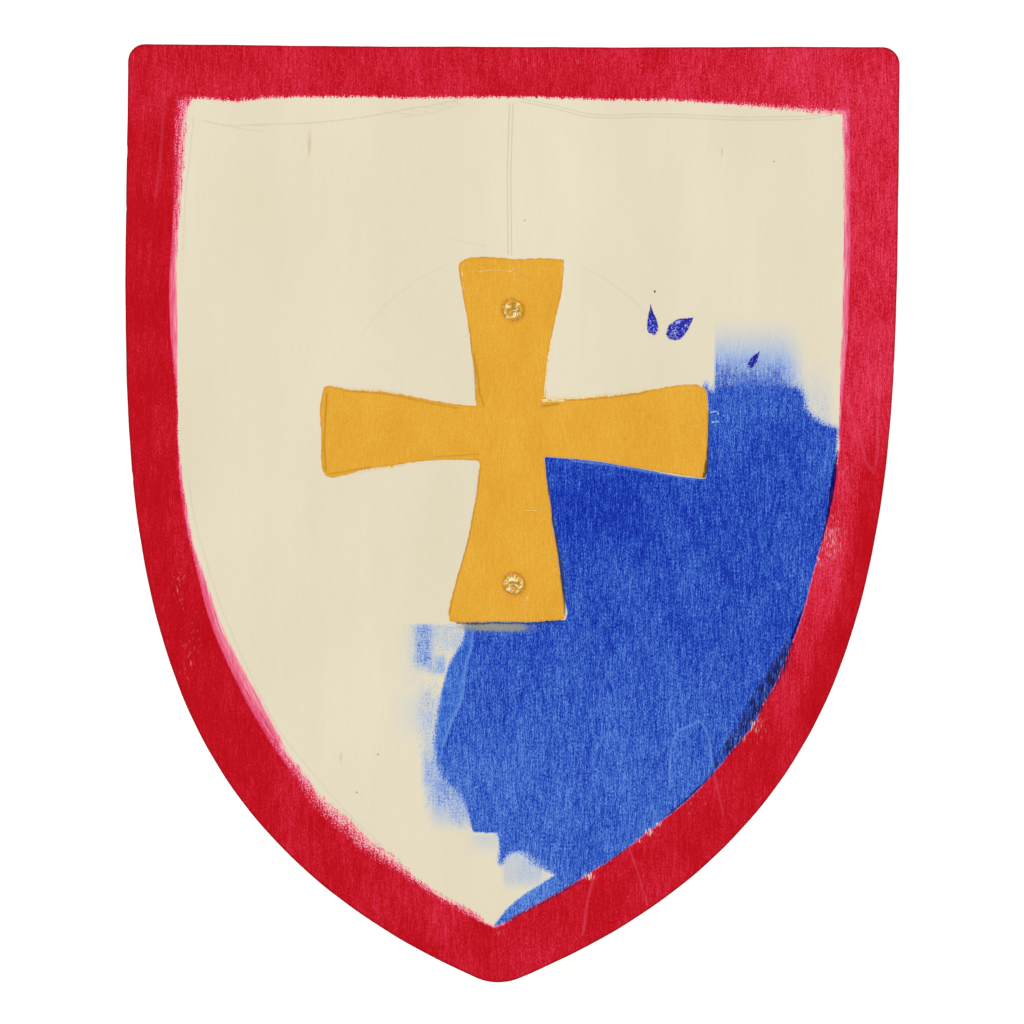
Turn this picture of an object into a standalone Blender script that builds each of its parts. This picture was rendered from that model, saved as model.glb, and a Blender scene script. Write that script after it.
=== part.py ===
"""A child's heater shield: a sawn plywood board with a wooden handle screwed to its back.

The shield lies face up on its handle. +Z points out of the painted face, +Y to the top edge,
and the origin is under the middle of the board, on the surface that the handle rests on.
"""

import math

import bmesh
import bpy
from mathutils import Matrix, Vector

# The board's outline, in metres. Its sides are straight below the top edge, then curve in to the tip.
BOARD_WIDTH = 0.305
BOARD_LENGTH = 0.3715
BOARD_THICKNESS = 0.006
BOARD_ARRIS = 0.0008
TOP_CORNER_RADIUS = 0.007
STRAIGHT_SIDE = 0.083
TIP_RADIUS = 0.022
TIP_HALF_ANGLE = math.radians(66.5)
# How far each end of the curved side keeps its own direction, as a share of the curve's height.
SIDE_FULLNESS = 0.48
# The saw line is a little out of true: the tip is off the middle, and the left shoulder sits lower.
TIP_SHIFT = -0.0019
LEFT_SHOULDER_DROP = 0.0024

# The handle, sawn in one piece: two feet against the board and a grip across them.
HANDLE_LENGTH = 0.134
HANDLE_WIDTH = 0.024
HANDLE_HEIGHT = 0.042
HANDLE_X = 0.0018
HANDLE_Y = 0.026
FOOT_LENGTH = 0.026
GRIP_THICKNESS = 0.016
OUTER_CORNER_RADIUS = 0.024
FINGER_CORNER_RADIUS = 0.012
HANDLE_ROUNDING = 0.003
# The feet are rounded this much too long, and then sawn off flat at the board's back.
FOOT_SPARE = 2 * HANDLE_ROUNDING

# The two pan head screws, driven from the painted face through the board into the feet. They were
# set by eye: the upper one sits this far left of the handle's middle, and the lower one right of it.
SCREW_LEAN = 0.0009
HEAD_DIAMETER = 0.0088
HEAD_HEIGHT = 0.0026
SHANK_DIAMETER = 0.0042
SHANK_BITE = 0.020
SHANK_POINT = 0.004
RECESS_SPAN = 0.0046
RECESS_WIDTH = 0.0010
RECESS_DEPTH = 0.0014
# The domed head from its middle out to its rim, as (share of its radius, share of its height).
HEAD_DOME = ((0.0, 1.0), (0.45, 0.98), (0.75, 0.86), (0.93, 0.62), (1.0, 0.30), (1.0, 0.0))

# The gap that touching pieces keep.
CLEARANCE = 0.0003

OUTLINE_STEPS = 24
HANDLE_STEPS = 10
TURNED_STEPS = 32
ROUNDING_SEGMENTS = 3
FLAT_ANGLE = math.radians(0.4)
EDGE_ANGLE = math.radians(40)
MERGE = 0.00001

BOARD_BACK = HANDLE_HEIGHT + CLEARANCE
BOARD_FACE = BOARD_BACK + BOARD_THICKNESS
SCREW_SEAT = BOARD_FACE + CLEARANCE
SCREW_LENGTH = SCREW_SEAT - HANDLE_HEIGHT + SHANK_BITE


def clear_scene():
    for obj in list(bpy.data.objects):
        bpy.data.objects.remove(obj)


def new_collection(name):
    collection = bpy.data.collections.new(name)
    bpy.context.scene.collection.children.link(collection)
    return collection


def new_material(name, colour, roughness, metallic=0.0):
    material = bpy.data.materials.new(name)
    material.use_nodes = True
    shader = material.node_tree.nodes["Principled BSDF"]
    shader.inputs["Base Color"].default_value = (*colour, 1.0)
    shader.inputs["Roughness"].default_value = roughness
    shader.inputs["Metallic"].default_value = metallic
    return material


def arc_pull(radius, angle):
    """The length of the handles that make a cubic curve follow an arc."""
    return radius * 4 / 3 * math.tan(angle / 4)


def round_corner(corner, before, after, radius):
    """Two curve points, each (place, incoming handle, outgoing handle), for a rounded corner."""
    corner, before, after = Vector(corner), Vector(before), Vector(after)
    back = (before - corner).normalized()
    on = (after - corner).normalized()
    turn = math.pi - back.angle(on)
    reach = radius * math.tan(turn / 2)
    pull = arc_pull(radius, turn)
    start, end = corner + back * reach, corner + on * reach
    return [(start, start, start - back * pull), (end, end - on * pull, end)]


def half_outline(side, shoulder, other_shoulder):
    """Curve points from the tip up to a shoulder: side is 1 for the right half and -1 for the left."""
    tip_turn = math.pi / 2 - TIP_HALF_ANGLE
    tip_centre = Vector((TIP_SHIFT, -BOARD_LENGTH / 2 + TIP_RADIUS))
    tip_end = tip_centre + TIP_RADIUS * Vector((side * math.sin(tip_turn), -math.cos(tip_turn)))
    along = Vector((side * math.cos(tip_turn), math.sin(tip_turn)))
    side_start = Vector((side * BOARD_WIDTH / 2, BOARD_LENGTH / 2 - STRAIGHT_SIDE))
    pull = SIDE_FULLNESS * (side_start.y - tip_end.y)
    return [
        (tip_end, tip_end - along * arc_pull(TIP_RADIUS, 2 * tip_turn), tip_end + along * pull),
        (side_start, side_start - Vector((0, pull)), side_start),
        *round_corner(shoulder, side_start, other_shoulder, TOP_CORNER_RADIUS),
    ]


def board_outline():
    """The right half's curve points from the tip up, then the left half's back down to the tip."""
    right_shoulder = (BOARD_WIDTH / 2, BOARD_LENGTH / 2)
    left_shoulder = (-BOARD_WIDTH / 2, BOARD_LENGTH / 2 - LEFT_SHOULDER_DROP)
    right = half_outline(1, right_shoulder, left_shoulder)
    left = half_outline(-1, left_shoulder, right_shoulder)
    return right + [(at, after, before) for at, before, after in reversed(left)]


def handle_outline():
    """The handle seen from its side: (along the board, height). Its feet run past the board's back,
    so that they can be sawn off flat after the edges are rounded."""
    half_length = HANDLE_LENGTH / 2
    gap_half = half_length - FOOT_LENGTH
    top = HANDLE_HEIGHT + FOOT_SPARE
    corners = [
        ((-half_length, top), 0),
        ((-half_length, 0), OUTER_CORNER_RADIUS),
        ((half_length, 0), OUTER_CORNER_RADIUS),
        ((half_length, top), 0),
        ((gap_half, top), 0),
        ((gap_half, GRIP_THICKNESS), FINGER_CORNER_RADIUS),
        ((-gap_half, GRIP_THICKNESS), FINGER_CORNER_RADIUS),
        ((-gap_half, top), 0),
    ]
    points = []
    for index, (corner, radius) in enumerate(corners):
        if radius:
            before, after = corners[index - 1][0], corners[(index + 1) % len(corners)][0]
            points += round_corner(corner, before, after, radius)
        else:
            points.append((Vector(corner), Vector(corner), Vector(corner)))
    return points


def flat_piece(name, points, thickness, steps, collection):
    """A closed flat outline, thickened evenly about its own plane, as a mesh with welded caps."""
    curve = bpy.data.curves.new(name + "_outline", "CURVE")
    curve.dimensions = "2D"
    curve.fill_mode = "BOTH"
    curve.extrude = thickness / 2
    curve.resolution_u = steps
    spline = curve.splines.new("BEZIER")
    spline.bezier_points.add(len(points) - 1)
    spline.use_cyclic_u = True
    for bezier, (at, before, after) in zip(spline.bezier_points, points):
        bezier.handle_left_type = bezier.handle_right_type = "FREE"
        bezier.co = (*at, 0)
        bezier.handle_left = (*before, 0)
        bezier.handle_right = (*after, 0)
    guide = bpy.data.objects.new(name + "_guide", curve)
    collection.objects.link(guide)
    graph = bpy.context.evaluated_depsgraph_get()
    mesh = bpy.data.meshes.new_from_object(guide.evaluated_get(graph))
    bpy.data.objects.remove(guide)
    weld_flat(mesh)
    piece = bpy.data.objects.new(name, mesh)
    collection.objects.link(piece)
    return piece


def weld_flat(mesh):
    """Joins the caps to the sides and merges the faces that lie in one plane."""
    cage = bmesh.new()
    cage.from_mesh(mesh)
    bmesh.ops.remove_doubles(cage, verts=cage.verts, dist=MERGE)
    bmesh.ops.dissolve_limit(cage, angle_limit=FLAT_ANGLE, verts=cage.verts, edges=cage.edges)
    bmesh.ops.recalc_face_normals(cage, faces=cage.faces)
    cage.to_mesh(mesh)
    cage.free()


def round_edges(piece, width, segments):
    bevel = piece.modifiers.new("rounded edges", "BEVEL")
    bevel.width = width
    bevel.segments = segments
    bevel.limit_method = "ANGLE"
    bevel.angle_limit = EDGE_ANGLE


def new_box(name, size, centre, collection):
    mesh = bpy.data.meshes.new(name)
    cage = bmesh.new()
    bmesh.ops.create_cube(cage, size=1.0, matrix=Matrix.Diagonal((*size, 1.0)))
    cage.to_mesh(mesh)
    cage.free()
    box = bpy.data.objects.new(name, mesh)
    box.location = centre
    collection.objects.link(box)
    return box


def new_cylinder(name, radius, low, high, centre, collection):
    mesh = bpy.data.meshes.new(name)
    cage = bmesh.new()
    middle = Matrix.Translation((0, 0, (low + high) / 2))
    bmesh.ops.create_cone(cage, cap_ends=True, segments=TURNED_STEPS, radius1=radius, radius2=radius,
                          depth=high - low, matrix=middle)
    cage.to_mesh(mesh)
    cage.free()
    cylinder = bpy.data.objects.new(name, mesh)
    cylinder.location = (*centre, 0)
    collection.objects.link(cylinder)
    return cylinder


def cut(piece, cutter):
    cutter.hide_render = True
    cutter.display_type = "WIRE"
    boolean = piece.modifiers.new("cut by " + cutter.name, "BOOLEAN")
    boolean.operation = "DIFFERENCE"
    boolean.object = cutter


def screw_places():
    """Where each screw goes through its foot, as (name, (x, y))."""
    reach = (HANDLE_LENGTH - FOOT_LENGTH) / 2
    return [
        ("upper", (HANDLE_X - SCREW_LEAN, HANDLE_Y + reach)),
        ("lower", (HANDLE_X + SCREW_LEAN, HANDLE_Y - reach)),
    ]


def make_board(collection, cutters, material):
    board = flat_piece("shield_board", board_outline(), BOARD_THICKNESS, OUTLINE_STEPS, collection)
    board.location.z = BOARD_BACK + BOARD_THICKNESS / 2
    round_edges(board, BOARD_ARRIS, ROUNDING_SEGMENTS)
    for name, place in screw_places():
        hole = new_cylinder(name + "_board_hole", SHANK_DIAMETER / 2 + CLEARANCE,
                            BOARD_BACK - BOARD_THICKNESS, BOARD_FACE + BOARD_THICKNESS, place, cutters)
        cut(board, hole)
    board.data.materials.append(material)
    return board


def make_handle(collection, cutters, material):
    handle = flat_piece("back_handle", handle_outline(), HANDLE_WIDTH, HANDLE_STEPS, collection)
    # The outline's own X runs along the board and its own Y is height.
    handle.data.transform(Matrix(((0, 0, 1, 0), (1, 0, 0, 0), (0, 1, 0, 0), (0, 0, 0, 1))))
    handle.location = (HANDLE_X, HANDLE_Y, 0)
    round_edges(handle, HANDLE_ROUNDING, ROUNDING_SEGMENTS)
    saw = new_box("foot_saw", (2 * HANDLE_WIDTH, 2 * HANDLE_LENGTH, 2 * FOOT_SPARE),
                  (HANDLE_X, HANDLE_Y, HANDLE_HEIGHT + FOOT_SPARE), cutters)
    cut(handle, saw)
    for name, place in screw_places():
        hole = new_cylinder(name + "_pilot_hole", SHANK_DIAMETER / 2 + CLEARANCE,
                            HANDLE_HEIGHT - SHANK_BITE - CLEARANCE, HANDLE_HEIGHT + FOOT_SPARE, place, cutters)
        cut(handle, hole)
    handle.data.materials.append(material)
    return handle


def screw_profile():
    """(radius, height) down the screw's outer side, from the crown of its head to its point."""
    head, shank = HEAD_DIAMETER / 2, SHANK_DIAMETER / 2
    dome = [(head * out, HEAD_HEIGHT * up) for out, up in HEAD_DOME]
    return dome + [(shank, 0.0), (shank, SHANK_POINT - SCREW_LENGTH), (0.0, -SCREW_LENGTH)]


def turned_mesh(name, profile):
    mesh = bpy.data.meshes.new(name)
    cage = bmesh.new()
    line = [cage.verts.new((radius, 0, height)) for radius, height in profile]
    for start, end in zip(line, line[1:]):
        cage.edges.new((start, end))
    cage.to_mesh(mesh)
    cage.free()
    return mesh


def make_screws(collection, cutters, material):
    mesh = turned_mesh("pan_head_screw", screw_profile())
    mesh.materials.append(material)
    for name, place in screw_places():
        screw = bpy.data.objects.new(name + "_screw", mesh)
        screw.location = (*place, SCREW_SEAT)
        collection.objects.link(screw)
        turn = screw.modifiers.new("turned", "SCREW")
        turn.steps = turn.render_steps = TURNED_STEPS
        turn.use_merge_vertices = True
        turn.merge_threshold = MERGE
        crown = SCREW_SEAT + HEAD_HEIGHT
        for slot, size in (("cross_slot_a", (RECESS_SPAN, RECESS_WIDTH)),
                           ("cross_slot_b", (RECESS_WIDTH, RECESS_SPAN))):
            blade = new_box(name + "_" + slot, (*size, 2 * RECESS_DEPTH), (*place, crown), cutters)
            cut(screw, blade)


def main():
    clear_scene()
    shield = new_collection("shield")
    cutters = new_collection("cutters")
    plywood = new_material("painted_plywood", (0.78, 0.70, 0.51), 0.6)
    handle_wood = new_material("handle_wood", (0.70, 0.53, 0.33), 0.55)
    screw_paint = new_material("painted_screw", (0.78, 0.41, 0.05), 0.4)
    make_board(shield, cutters, plywood)
    make_handle(shield, cutters, handle_wood)
    make_screws(shield, cutters, screw_paint)


main()
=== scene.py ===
import math

import bmesh
import bpy
import numpy as np
from mathutils import Matrix, Vector
from mathutils.geometry import delaunay_2d_cdt, interpolate_bezier


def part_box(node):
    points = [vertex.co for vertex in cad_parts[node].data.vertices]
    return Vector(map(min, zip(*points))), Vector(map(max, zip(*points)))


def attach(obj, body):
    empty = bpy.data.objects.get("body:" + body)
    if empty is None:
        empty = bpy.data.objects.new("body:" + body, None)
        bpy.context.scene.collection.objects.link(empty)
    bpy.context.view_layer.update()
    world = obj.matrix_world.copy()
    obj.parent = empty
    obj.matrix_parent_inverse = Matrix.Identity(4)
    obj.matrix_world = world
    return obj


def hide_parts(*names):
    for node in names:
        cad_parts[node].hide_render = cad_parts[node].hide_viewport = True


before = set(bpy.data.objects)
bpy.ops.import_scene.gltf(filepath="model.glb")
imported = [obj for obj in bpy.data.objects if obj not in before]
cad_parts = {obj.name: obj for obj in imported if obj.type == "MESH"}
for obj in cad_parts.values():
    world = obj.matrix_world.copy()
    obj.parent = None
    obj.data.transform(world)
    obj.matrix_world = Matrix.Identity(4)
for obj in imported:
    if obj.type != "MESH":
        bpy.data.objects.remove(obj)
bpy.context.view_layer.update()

# A child's heater shield of birch plywood, part way through being painted: a red border, an ochre
# cross and a blue quarter that still has its dry brush edges. Places on the board are in millimetres
# from its middle, +X to the right and +Y to the straight top edge, as (x, y). Meshes are in metres.

MM = 0.001

# The board, from its solid in model.glb and from the saw's outline.
BOARD_LOW, BOARD_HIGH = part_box("shield_board")
FACE = BOARD_HIGH.z
BACK = BOARD_LOW.z
HALF_WIDTH = (BOARD_HIGH.x - BOARD_LOW.x) / 2 / MM
HALF_LENGTH = (BOARD_HIGH.y - BOARD_LOW.y) / 2 / MM
STRAIGHT_SIDE = 83
TOP_CORNER_RADIUS = 7
TIP_RADIUS = 22
TIP_HALF_ANGLE = math.radians(66.5)
SIDE_FULLNESS = 0.48
TIP_SHIFT = -1.9
LEFT_SHOULDER_DROP = 2.4
TOP_SAG = 0.6
TOP_SAG_MIDDLE = -15
ARRIS = 0.8
ARRIS_STEPS = 4
PLIES = 5
PLY_GROOVE = 0.10
SAW_WOBBLE = 0.22
RIM_STEP = 1.5
FACE_GRID = 1.15
BACK_GRID = 4.0
LINE_STEP = 2.5
# The share of a grid's step that its points keep from the rim and the holes.
GRID_CLEARANCE = 0.55
# The board's materials.
FACE_SLOT, EDGE_SLOT, BACK_SLOT = range(3)

# Dents in the painted arris: (place, width along the edge, depth).
NICKS = [
    ((-151.8, 141), 4.0, 0.75), ((-152.4, 118), 2.2, 0.35), ((-60, 185), 3.0, 0.35),
    ((38, 185), 2.0, 0.30), ((152, 60), 2.6, 0.40), ((-149, 12), 3.2, 0.45), ((118, -75), 2.8, 0.45),
    ((-104, -96), 3.4, 0.50), ((51, -153), 2.4, 0.35), ((-30, -168), 2.6, 0.40), ((143, -8), 2.0, 0.30),
    ((148.5, 181), 2.4, 0.45),
]
NICK_DROP = 1.6

# Painted outlines are drawn as smooth stretches that meet in sharp corners. First the inner edge of
# the solid red, clockwise from its top left corner.
BORDER_EDGE = [
    [(-133.2, 162.2), (-118, 162.4), (-112, 161.7), (-96, 163), (-40, 163.6), (18, 164.3), (34, 163.8),
     (58, 164.1), (88, 163), (109, 162), (132.6, 161)],
    [(132.6, 161), (133.4, 94), (132.6, 66), (130.8, 40), (129.9, 22.5), (127.6, 9.8), (124.6, -6.8),
     (120.4, -24.2), (116.5, -39.6), (110.2, -56.7), (106, -67), (101.7, -74.1), (97.4, -83.7),
     (90.5, -91.6), (82.7, -101.4), (74.9, -110.2), (64.7, -119.1), (45.2, -134.4), (34.7, -141.7),
     (25.3, -147.7), (8, -157.6), (-2.6, -164.2)],
    [(-2.6, -164.2), (-8.8, -161.6), (-16.2, -157.8), (-26, -152.7), (-41, -143), (-56.7, -133.7),
     (-65.5, -125.9), (-74.3, -118.1), (-82.2, -106.4), (-95.8, -86.8), (-106.7, -67.2), (-116.5, -45.6),
     (-122.6, -24), (-128.2, -0.4), (-130.2, 15.4), (-131.4, 43), (-134.1, 70.6), (-134.8, 90),
     (-133.7, 110), (-133.3, 126), (-133.6, 142), (-133.2, 162.2)],
]

# The thin red that the brush left past the solid red: (place, its width, how dry), by height on the
# sides and by x along the top. Dry is 0 for a smooth pink and 1 for grains of red on bare wood.
LEFT_BAND = [
    (162, 5.5, 0.75), (142, 4.6, 0.75), (126, 3.2, 0.6), (110, 2.3, 0.4), (90, 3.0, 0.0), (70, 3.0, 0.0),
    (55, 1.5, 0.2), (43, 0.5, 0.5), (27, 0.5, 0.5), (15, 1.2, 0.3), (0, 1.6, 0.3), (-14, 1.1, 0.3),
    (-24, 2.3, 0.2), (-36, 3.4, 0.1), (-55, 4.2, 0.1), (-75, 5.4, 0.1), (-87, 4.8, 0.2), (-95, 3.6, 0.4),
    (-106, 4.4, 0.7), (-118, 6.6, 1.0), (-134, 6.0, 1.0), (-143, 2.8, 0.9), (-158, 2.6, 0.8),
    (-162, 0.8, 0.6),
]
RIGHT_BAND = [
    (160, 2.8, 0.3), (94, 2.7, 0.0), (60, 2.2, 0.1), (40, 0.8, 0.2), (24, 0.3, 0.3), (-160, 0.3, 0.6),
]
TOP_BAND = [(-120, 1.2, 1.0), (-60, 0.8, 0.9), (60, 0.9, 0.9), (95, 1.6, 0.9), (128, 2.8, 0.9)]

# The cross, clockwise from the left corner of its top arm.
CROSS_EDGE = [
    [(-20.9, 96.2), (-20.5, 98.2), (-18.6, 99.6), (-8.5, 100.6), (2.7, 100), (11.4, 100.5), (20.7, 100.1)],
    [(20.7, 100.1), (20.6, 93), (19.5, 85), (18.1, 78.6), (15.8, 66.7), (14.4, 56.3), (13.9, 45)],
    [(13.9, 45), (20.1, 44.9), (35.6, 46), (48.9, 47.7), (61.3, 50.2), (69.5, 51.4), (74.7, 51.2),
     (77.5, 49.4), (78.2, 45.5), (78.3, 31), (78.1, 20.7), (77.7, 14.3)],
    [(77.7, 14.3), (72, 15), (56.5, 17.3), (46.2, 18.8), (35.9, 20.4), (14.1, 22.2)],
    [(14.1, 22.2), (15, 13.2), (16.5, 4.5), (17.6, -4.9), (19.4, -13.7), (20.9, -24.5), (22.3, -33.9),
     (22.8, -42)],
    [(22.8, -42), (10, -43.1), (-3.6, -43.2), (-17, -43.7), (-22.5, -43.2)],
    [(-22.5, -43.2), (-23, -41), (-21.2, -31), (-19.2, -23.5), (-16.6, -14.1), (-13.8, 0.7),
     (-11.9, 12.9), (-11.5, 20.4)],
    [(-11.5, 20.4), (-25.4, 20.4), (-36.1, 19.6), (-46.8, 17.7), (-57.5, 16.1), (-64.6, 13.9),
     (-69.9, 12.8), (-72.3, 13.4), (-73.4, 15.8), (-74.1, 27), (-74, 46), (-73.2, 48.8), (-71.1, 49.1)],
    [(-71.1, 49.1), (-61.4, 47.5), (-52.2, 47.1), (-40, 45.6), (-29.3, 43.6), (-22.1, 42.6),
     (-13.2, 41.8)],
    [(-13.2, 41.8), (-14.3, 56.8), (-15.5, 63.9), (-16.4, 72), (-17.6, 78.3), (-19.3, 87), (-20.9, 96.2)],
]

# The solid blue, anticlockwise from the right border. Where it runs under the cross or over the
# border its outline is out of sight.
BLUE_EDGE = [
    [(150, 19), (128.8, 19)],
    [(128.8, 19), (129.6, 28), (130.1, 35.5)],
    [(130.1, 35.5), (126.5, 36.4), (121, 39.4), (118, 42.5), (117.3, 47), (115.6, 50.5), (110, 53.6),
     (102, 55.5), (94.6, 56.4), (88.7, 54.4), (81.3, 51.9)],
    [(81.3, 51.9), (79.7, 48.7), (77.3, 53)],
    [(77.3, 53), (74, 47), (15, 30), (-8, 10), (-16, -41), (-16.8, -46.4), (-17.8, -51.3), (-20.4, -55.3),
     (-22.4, -59.3), (-23.9, -64.2), (-26.1, -73.1), (-28.2, -85), (-28.7, -91.5), (-28.3, -98)],
    [(-28.3, -98), (-25.8, -106.5), (-18, -113.5), (-15.2, -117.8), (-12.5, -126.4)],
    [(-12.5, -126.4), (-2.9, -126.7)],
    [(-2.9, -126.7), (-1.9, -132.4), (-2.4, -138), (-1.2, -139.8), (1.6, -135.7), (5.9, -134.5),
     (8, -135.2), (11.2, -139.2), (15.6, -140.9), (20, -142.6)],
    [(20, -142.6), (14.8, -146.2), (7.9, -150.7), (1.8, -155.9), (-3.4, -162.5)],
    [(-3.4, -162.5), (-4, -176), (60, -165), (150, -90), (150, 19)],
]

# A second pass of the brush stops short of the first one: the strip between them is thinner.
BLUE_STRIP = [
    [(-12, -44), (-13.5, -54.2), (-15.4, -60.2), (-17.1, -73), (-21.1, -83), (-24.4, -92.8), (-25.2, -98),
     (-32, -99), (-34, -84), (-28, -60), (-24, -44), (-12, -44)],
]

# Thin blue: (left, right, bottom, top) of each patch, how far it fades at those sides, and how much
# there is. First the smooth hazes, then the dry ones that only catch the fibres.
BLUE_HAZES = [
    ((80.1, 120, 26, 82), (0.4, 14, 1, 30), 0.92),
    ((100, 129, 26, 72), (10, 5, 1, 36), 0.22),
    ((-46, -30, -77, -43.5), (9, 6, 12, 2), 0.14),
    ((-37.5, -27, -66, -43.6), (3, 4, 7, 2), 0.50),
    ((-31, -22.5, -66, -54), (3.4, 2, 4, 4), 0.40),
    ((-31, -14, -56, -43.6), (2, 1, 4, 1), 0.16),
    ((-50, -28, -94, -66), (15, 2, 12, 10), 0.20),
    ((-33, -20, -112, -92), (0.6, 2, 6, 6), 0.34),
    ((-33, -10, -128.5, -104), (8, 3, 10, 3), 0.46),
    ((-17, -2, -137, -126.6), (8, 0.5, 8, 0.6), 0.30),
    ((-1, 18, -151, -133), (1.5, 5, 7, 3), 0.38),
]
BLUE_DRY = [
    ((80.1, 124, 26, 70), (0.6, 14, 1, 24), 0.32),
    ((108, 130, 26, 78), (10, 3, 1, 42), 0.24),
    ((-40, -27, -66, -43.6), (5, 3, 8, 1), 0.55),
    ((-33, -23, -66, -55), (3, 1, 3, 4), 0.50),
    ((-32, -16, -57, -43.6), (1.5, 1, 3, 1), 0.44),
    ((-38, -26, -100, -60), (8, 1, 5, 16), 0.60),
    ((-34, -12, -122, -96), (4, 3, 10, 3), 0.62),
    ((-24, -10, -128, -112), (6, 2, 7, 2), 0.46),
    ((-14, 0, -138, -124), (7, 2, 6, 3), 0.08),
    ((2, 22, -148, -131), (5, 3, 6, 4), 0.22),
]

# Dark strokes, as (how dark, how ragged, how warm, [(x, y, half width)]): blue that laps over the red,
# then the pencil and mud of the cross's edges.
STROKES = [
    (1.0, 0.1, 0, [(129.7, 27, 0.08), (128.8, 20, 0.6), (128.2, 15, 0.85), (126.1, 0.7, 0.5),
                   (123.4, -12, 0.14)]),
    (1.0, 0.2, 0, [(117.4, -35, 0.12), (115.4, -40, 0.45), (112.5, -48.7, 0.6)]),
    (1.0, 1.3, 0.25, [(112, -49.5, 0.7), (109.1, -56.4, 2.1), (104.7, -64.6, 2.5), (99.6, -73.6, 2.7),
                      (96.1, -79.6, 2.5), (92.3, -85.6, 2.2), (87, -92.6, 1.3), (82.8, -99.4, 0.8)]),
    (0.8, 0.3, 0, [(95, -86.5, 0.2), (86, -97.2, 0.35), (78, -106.2, 0.4), (70.5, -113.3, 0.4),
                   (64, -119, 0.3)]),
    (0.7, 0.3, 0, [(50, -130.6, 0.25), (45, -134.6, 0.35), (38, -139.6, 0.25)]),
    (0.75, 0.5, 0.2, [(30, -145, 0.3), (24, -148.6, 0.6), (18, -152.2, 0.6), (10, -156.6, 0.35),
                      (0, -162, 0.2)]),
    (0.9, 0.25, 1, [(78.5, 42, 0.12), (78.6, 36, 0.2), (78.5, 28, 0.25), (78.2, 22, 0.45),
                    (77.6, 16.5, 0.7), (76.9, 14.6, 0.4)]),
    (0.85, 0.25, 1, [(14.3, 21, 0.1), (15.4, 12, 0.28), (16.9, 3, 0.3), (18.2, -6, 0.35),
                     (19.8, -14, 0.4), (21.1, -22, 0.55), (22, -29, 0.65), (22.7, -35, 0.3),
                     (23, -41, 0.12)]),
    (0.85, 0.3, 0.7, [(-21, -43.7, 0.12), (-14, -44, 0.3), (-6, -43.7, 0.28), (2, -43.6, 0.3),
                      (10, -43.5, 0.26), (17, -42.9, 0.36), (22.6, -42.4, 0.15)]),
]
# How far beyond its edge a stroke can show a ragged hair, and the half width that says there is none.
STROKE_REACH = 1.6
NO_STROKE = -1.0

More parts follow.
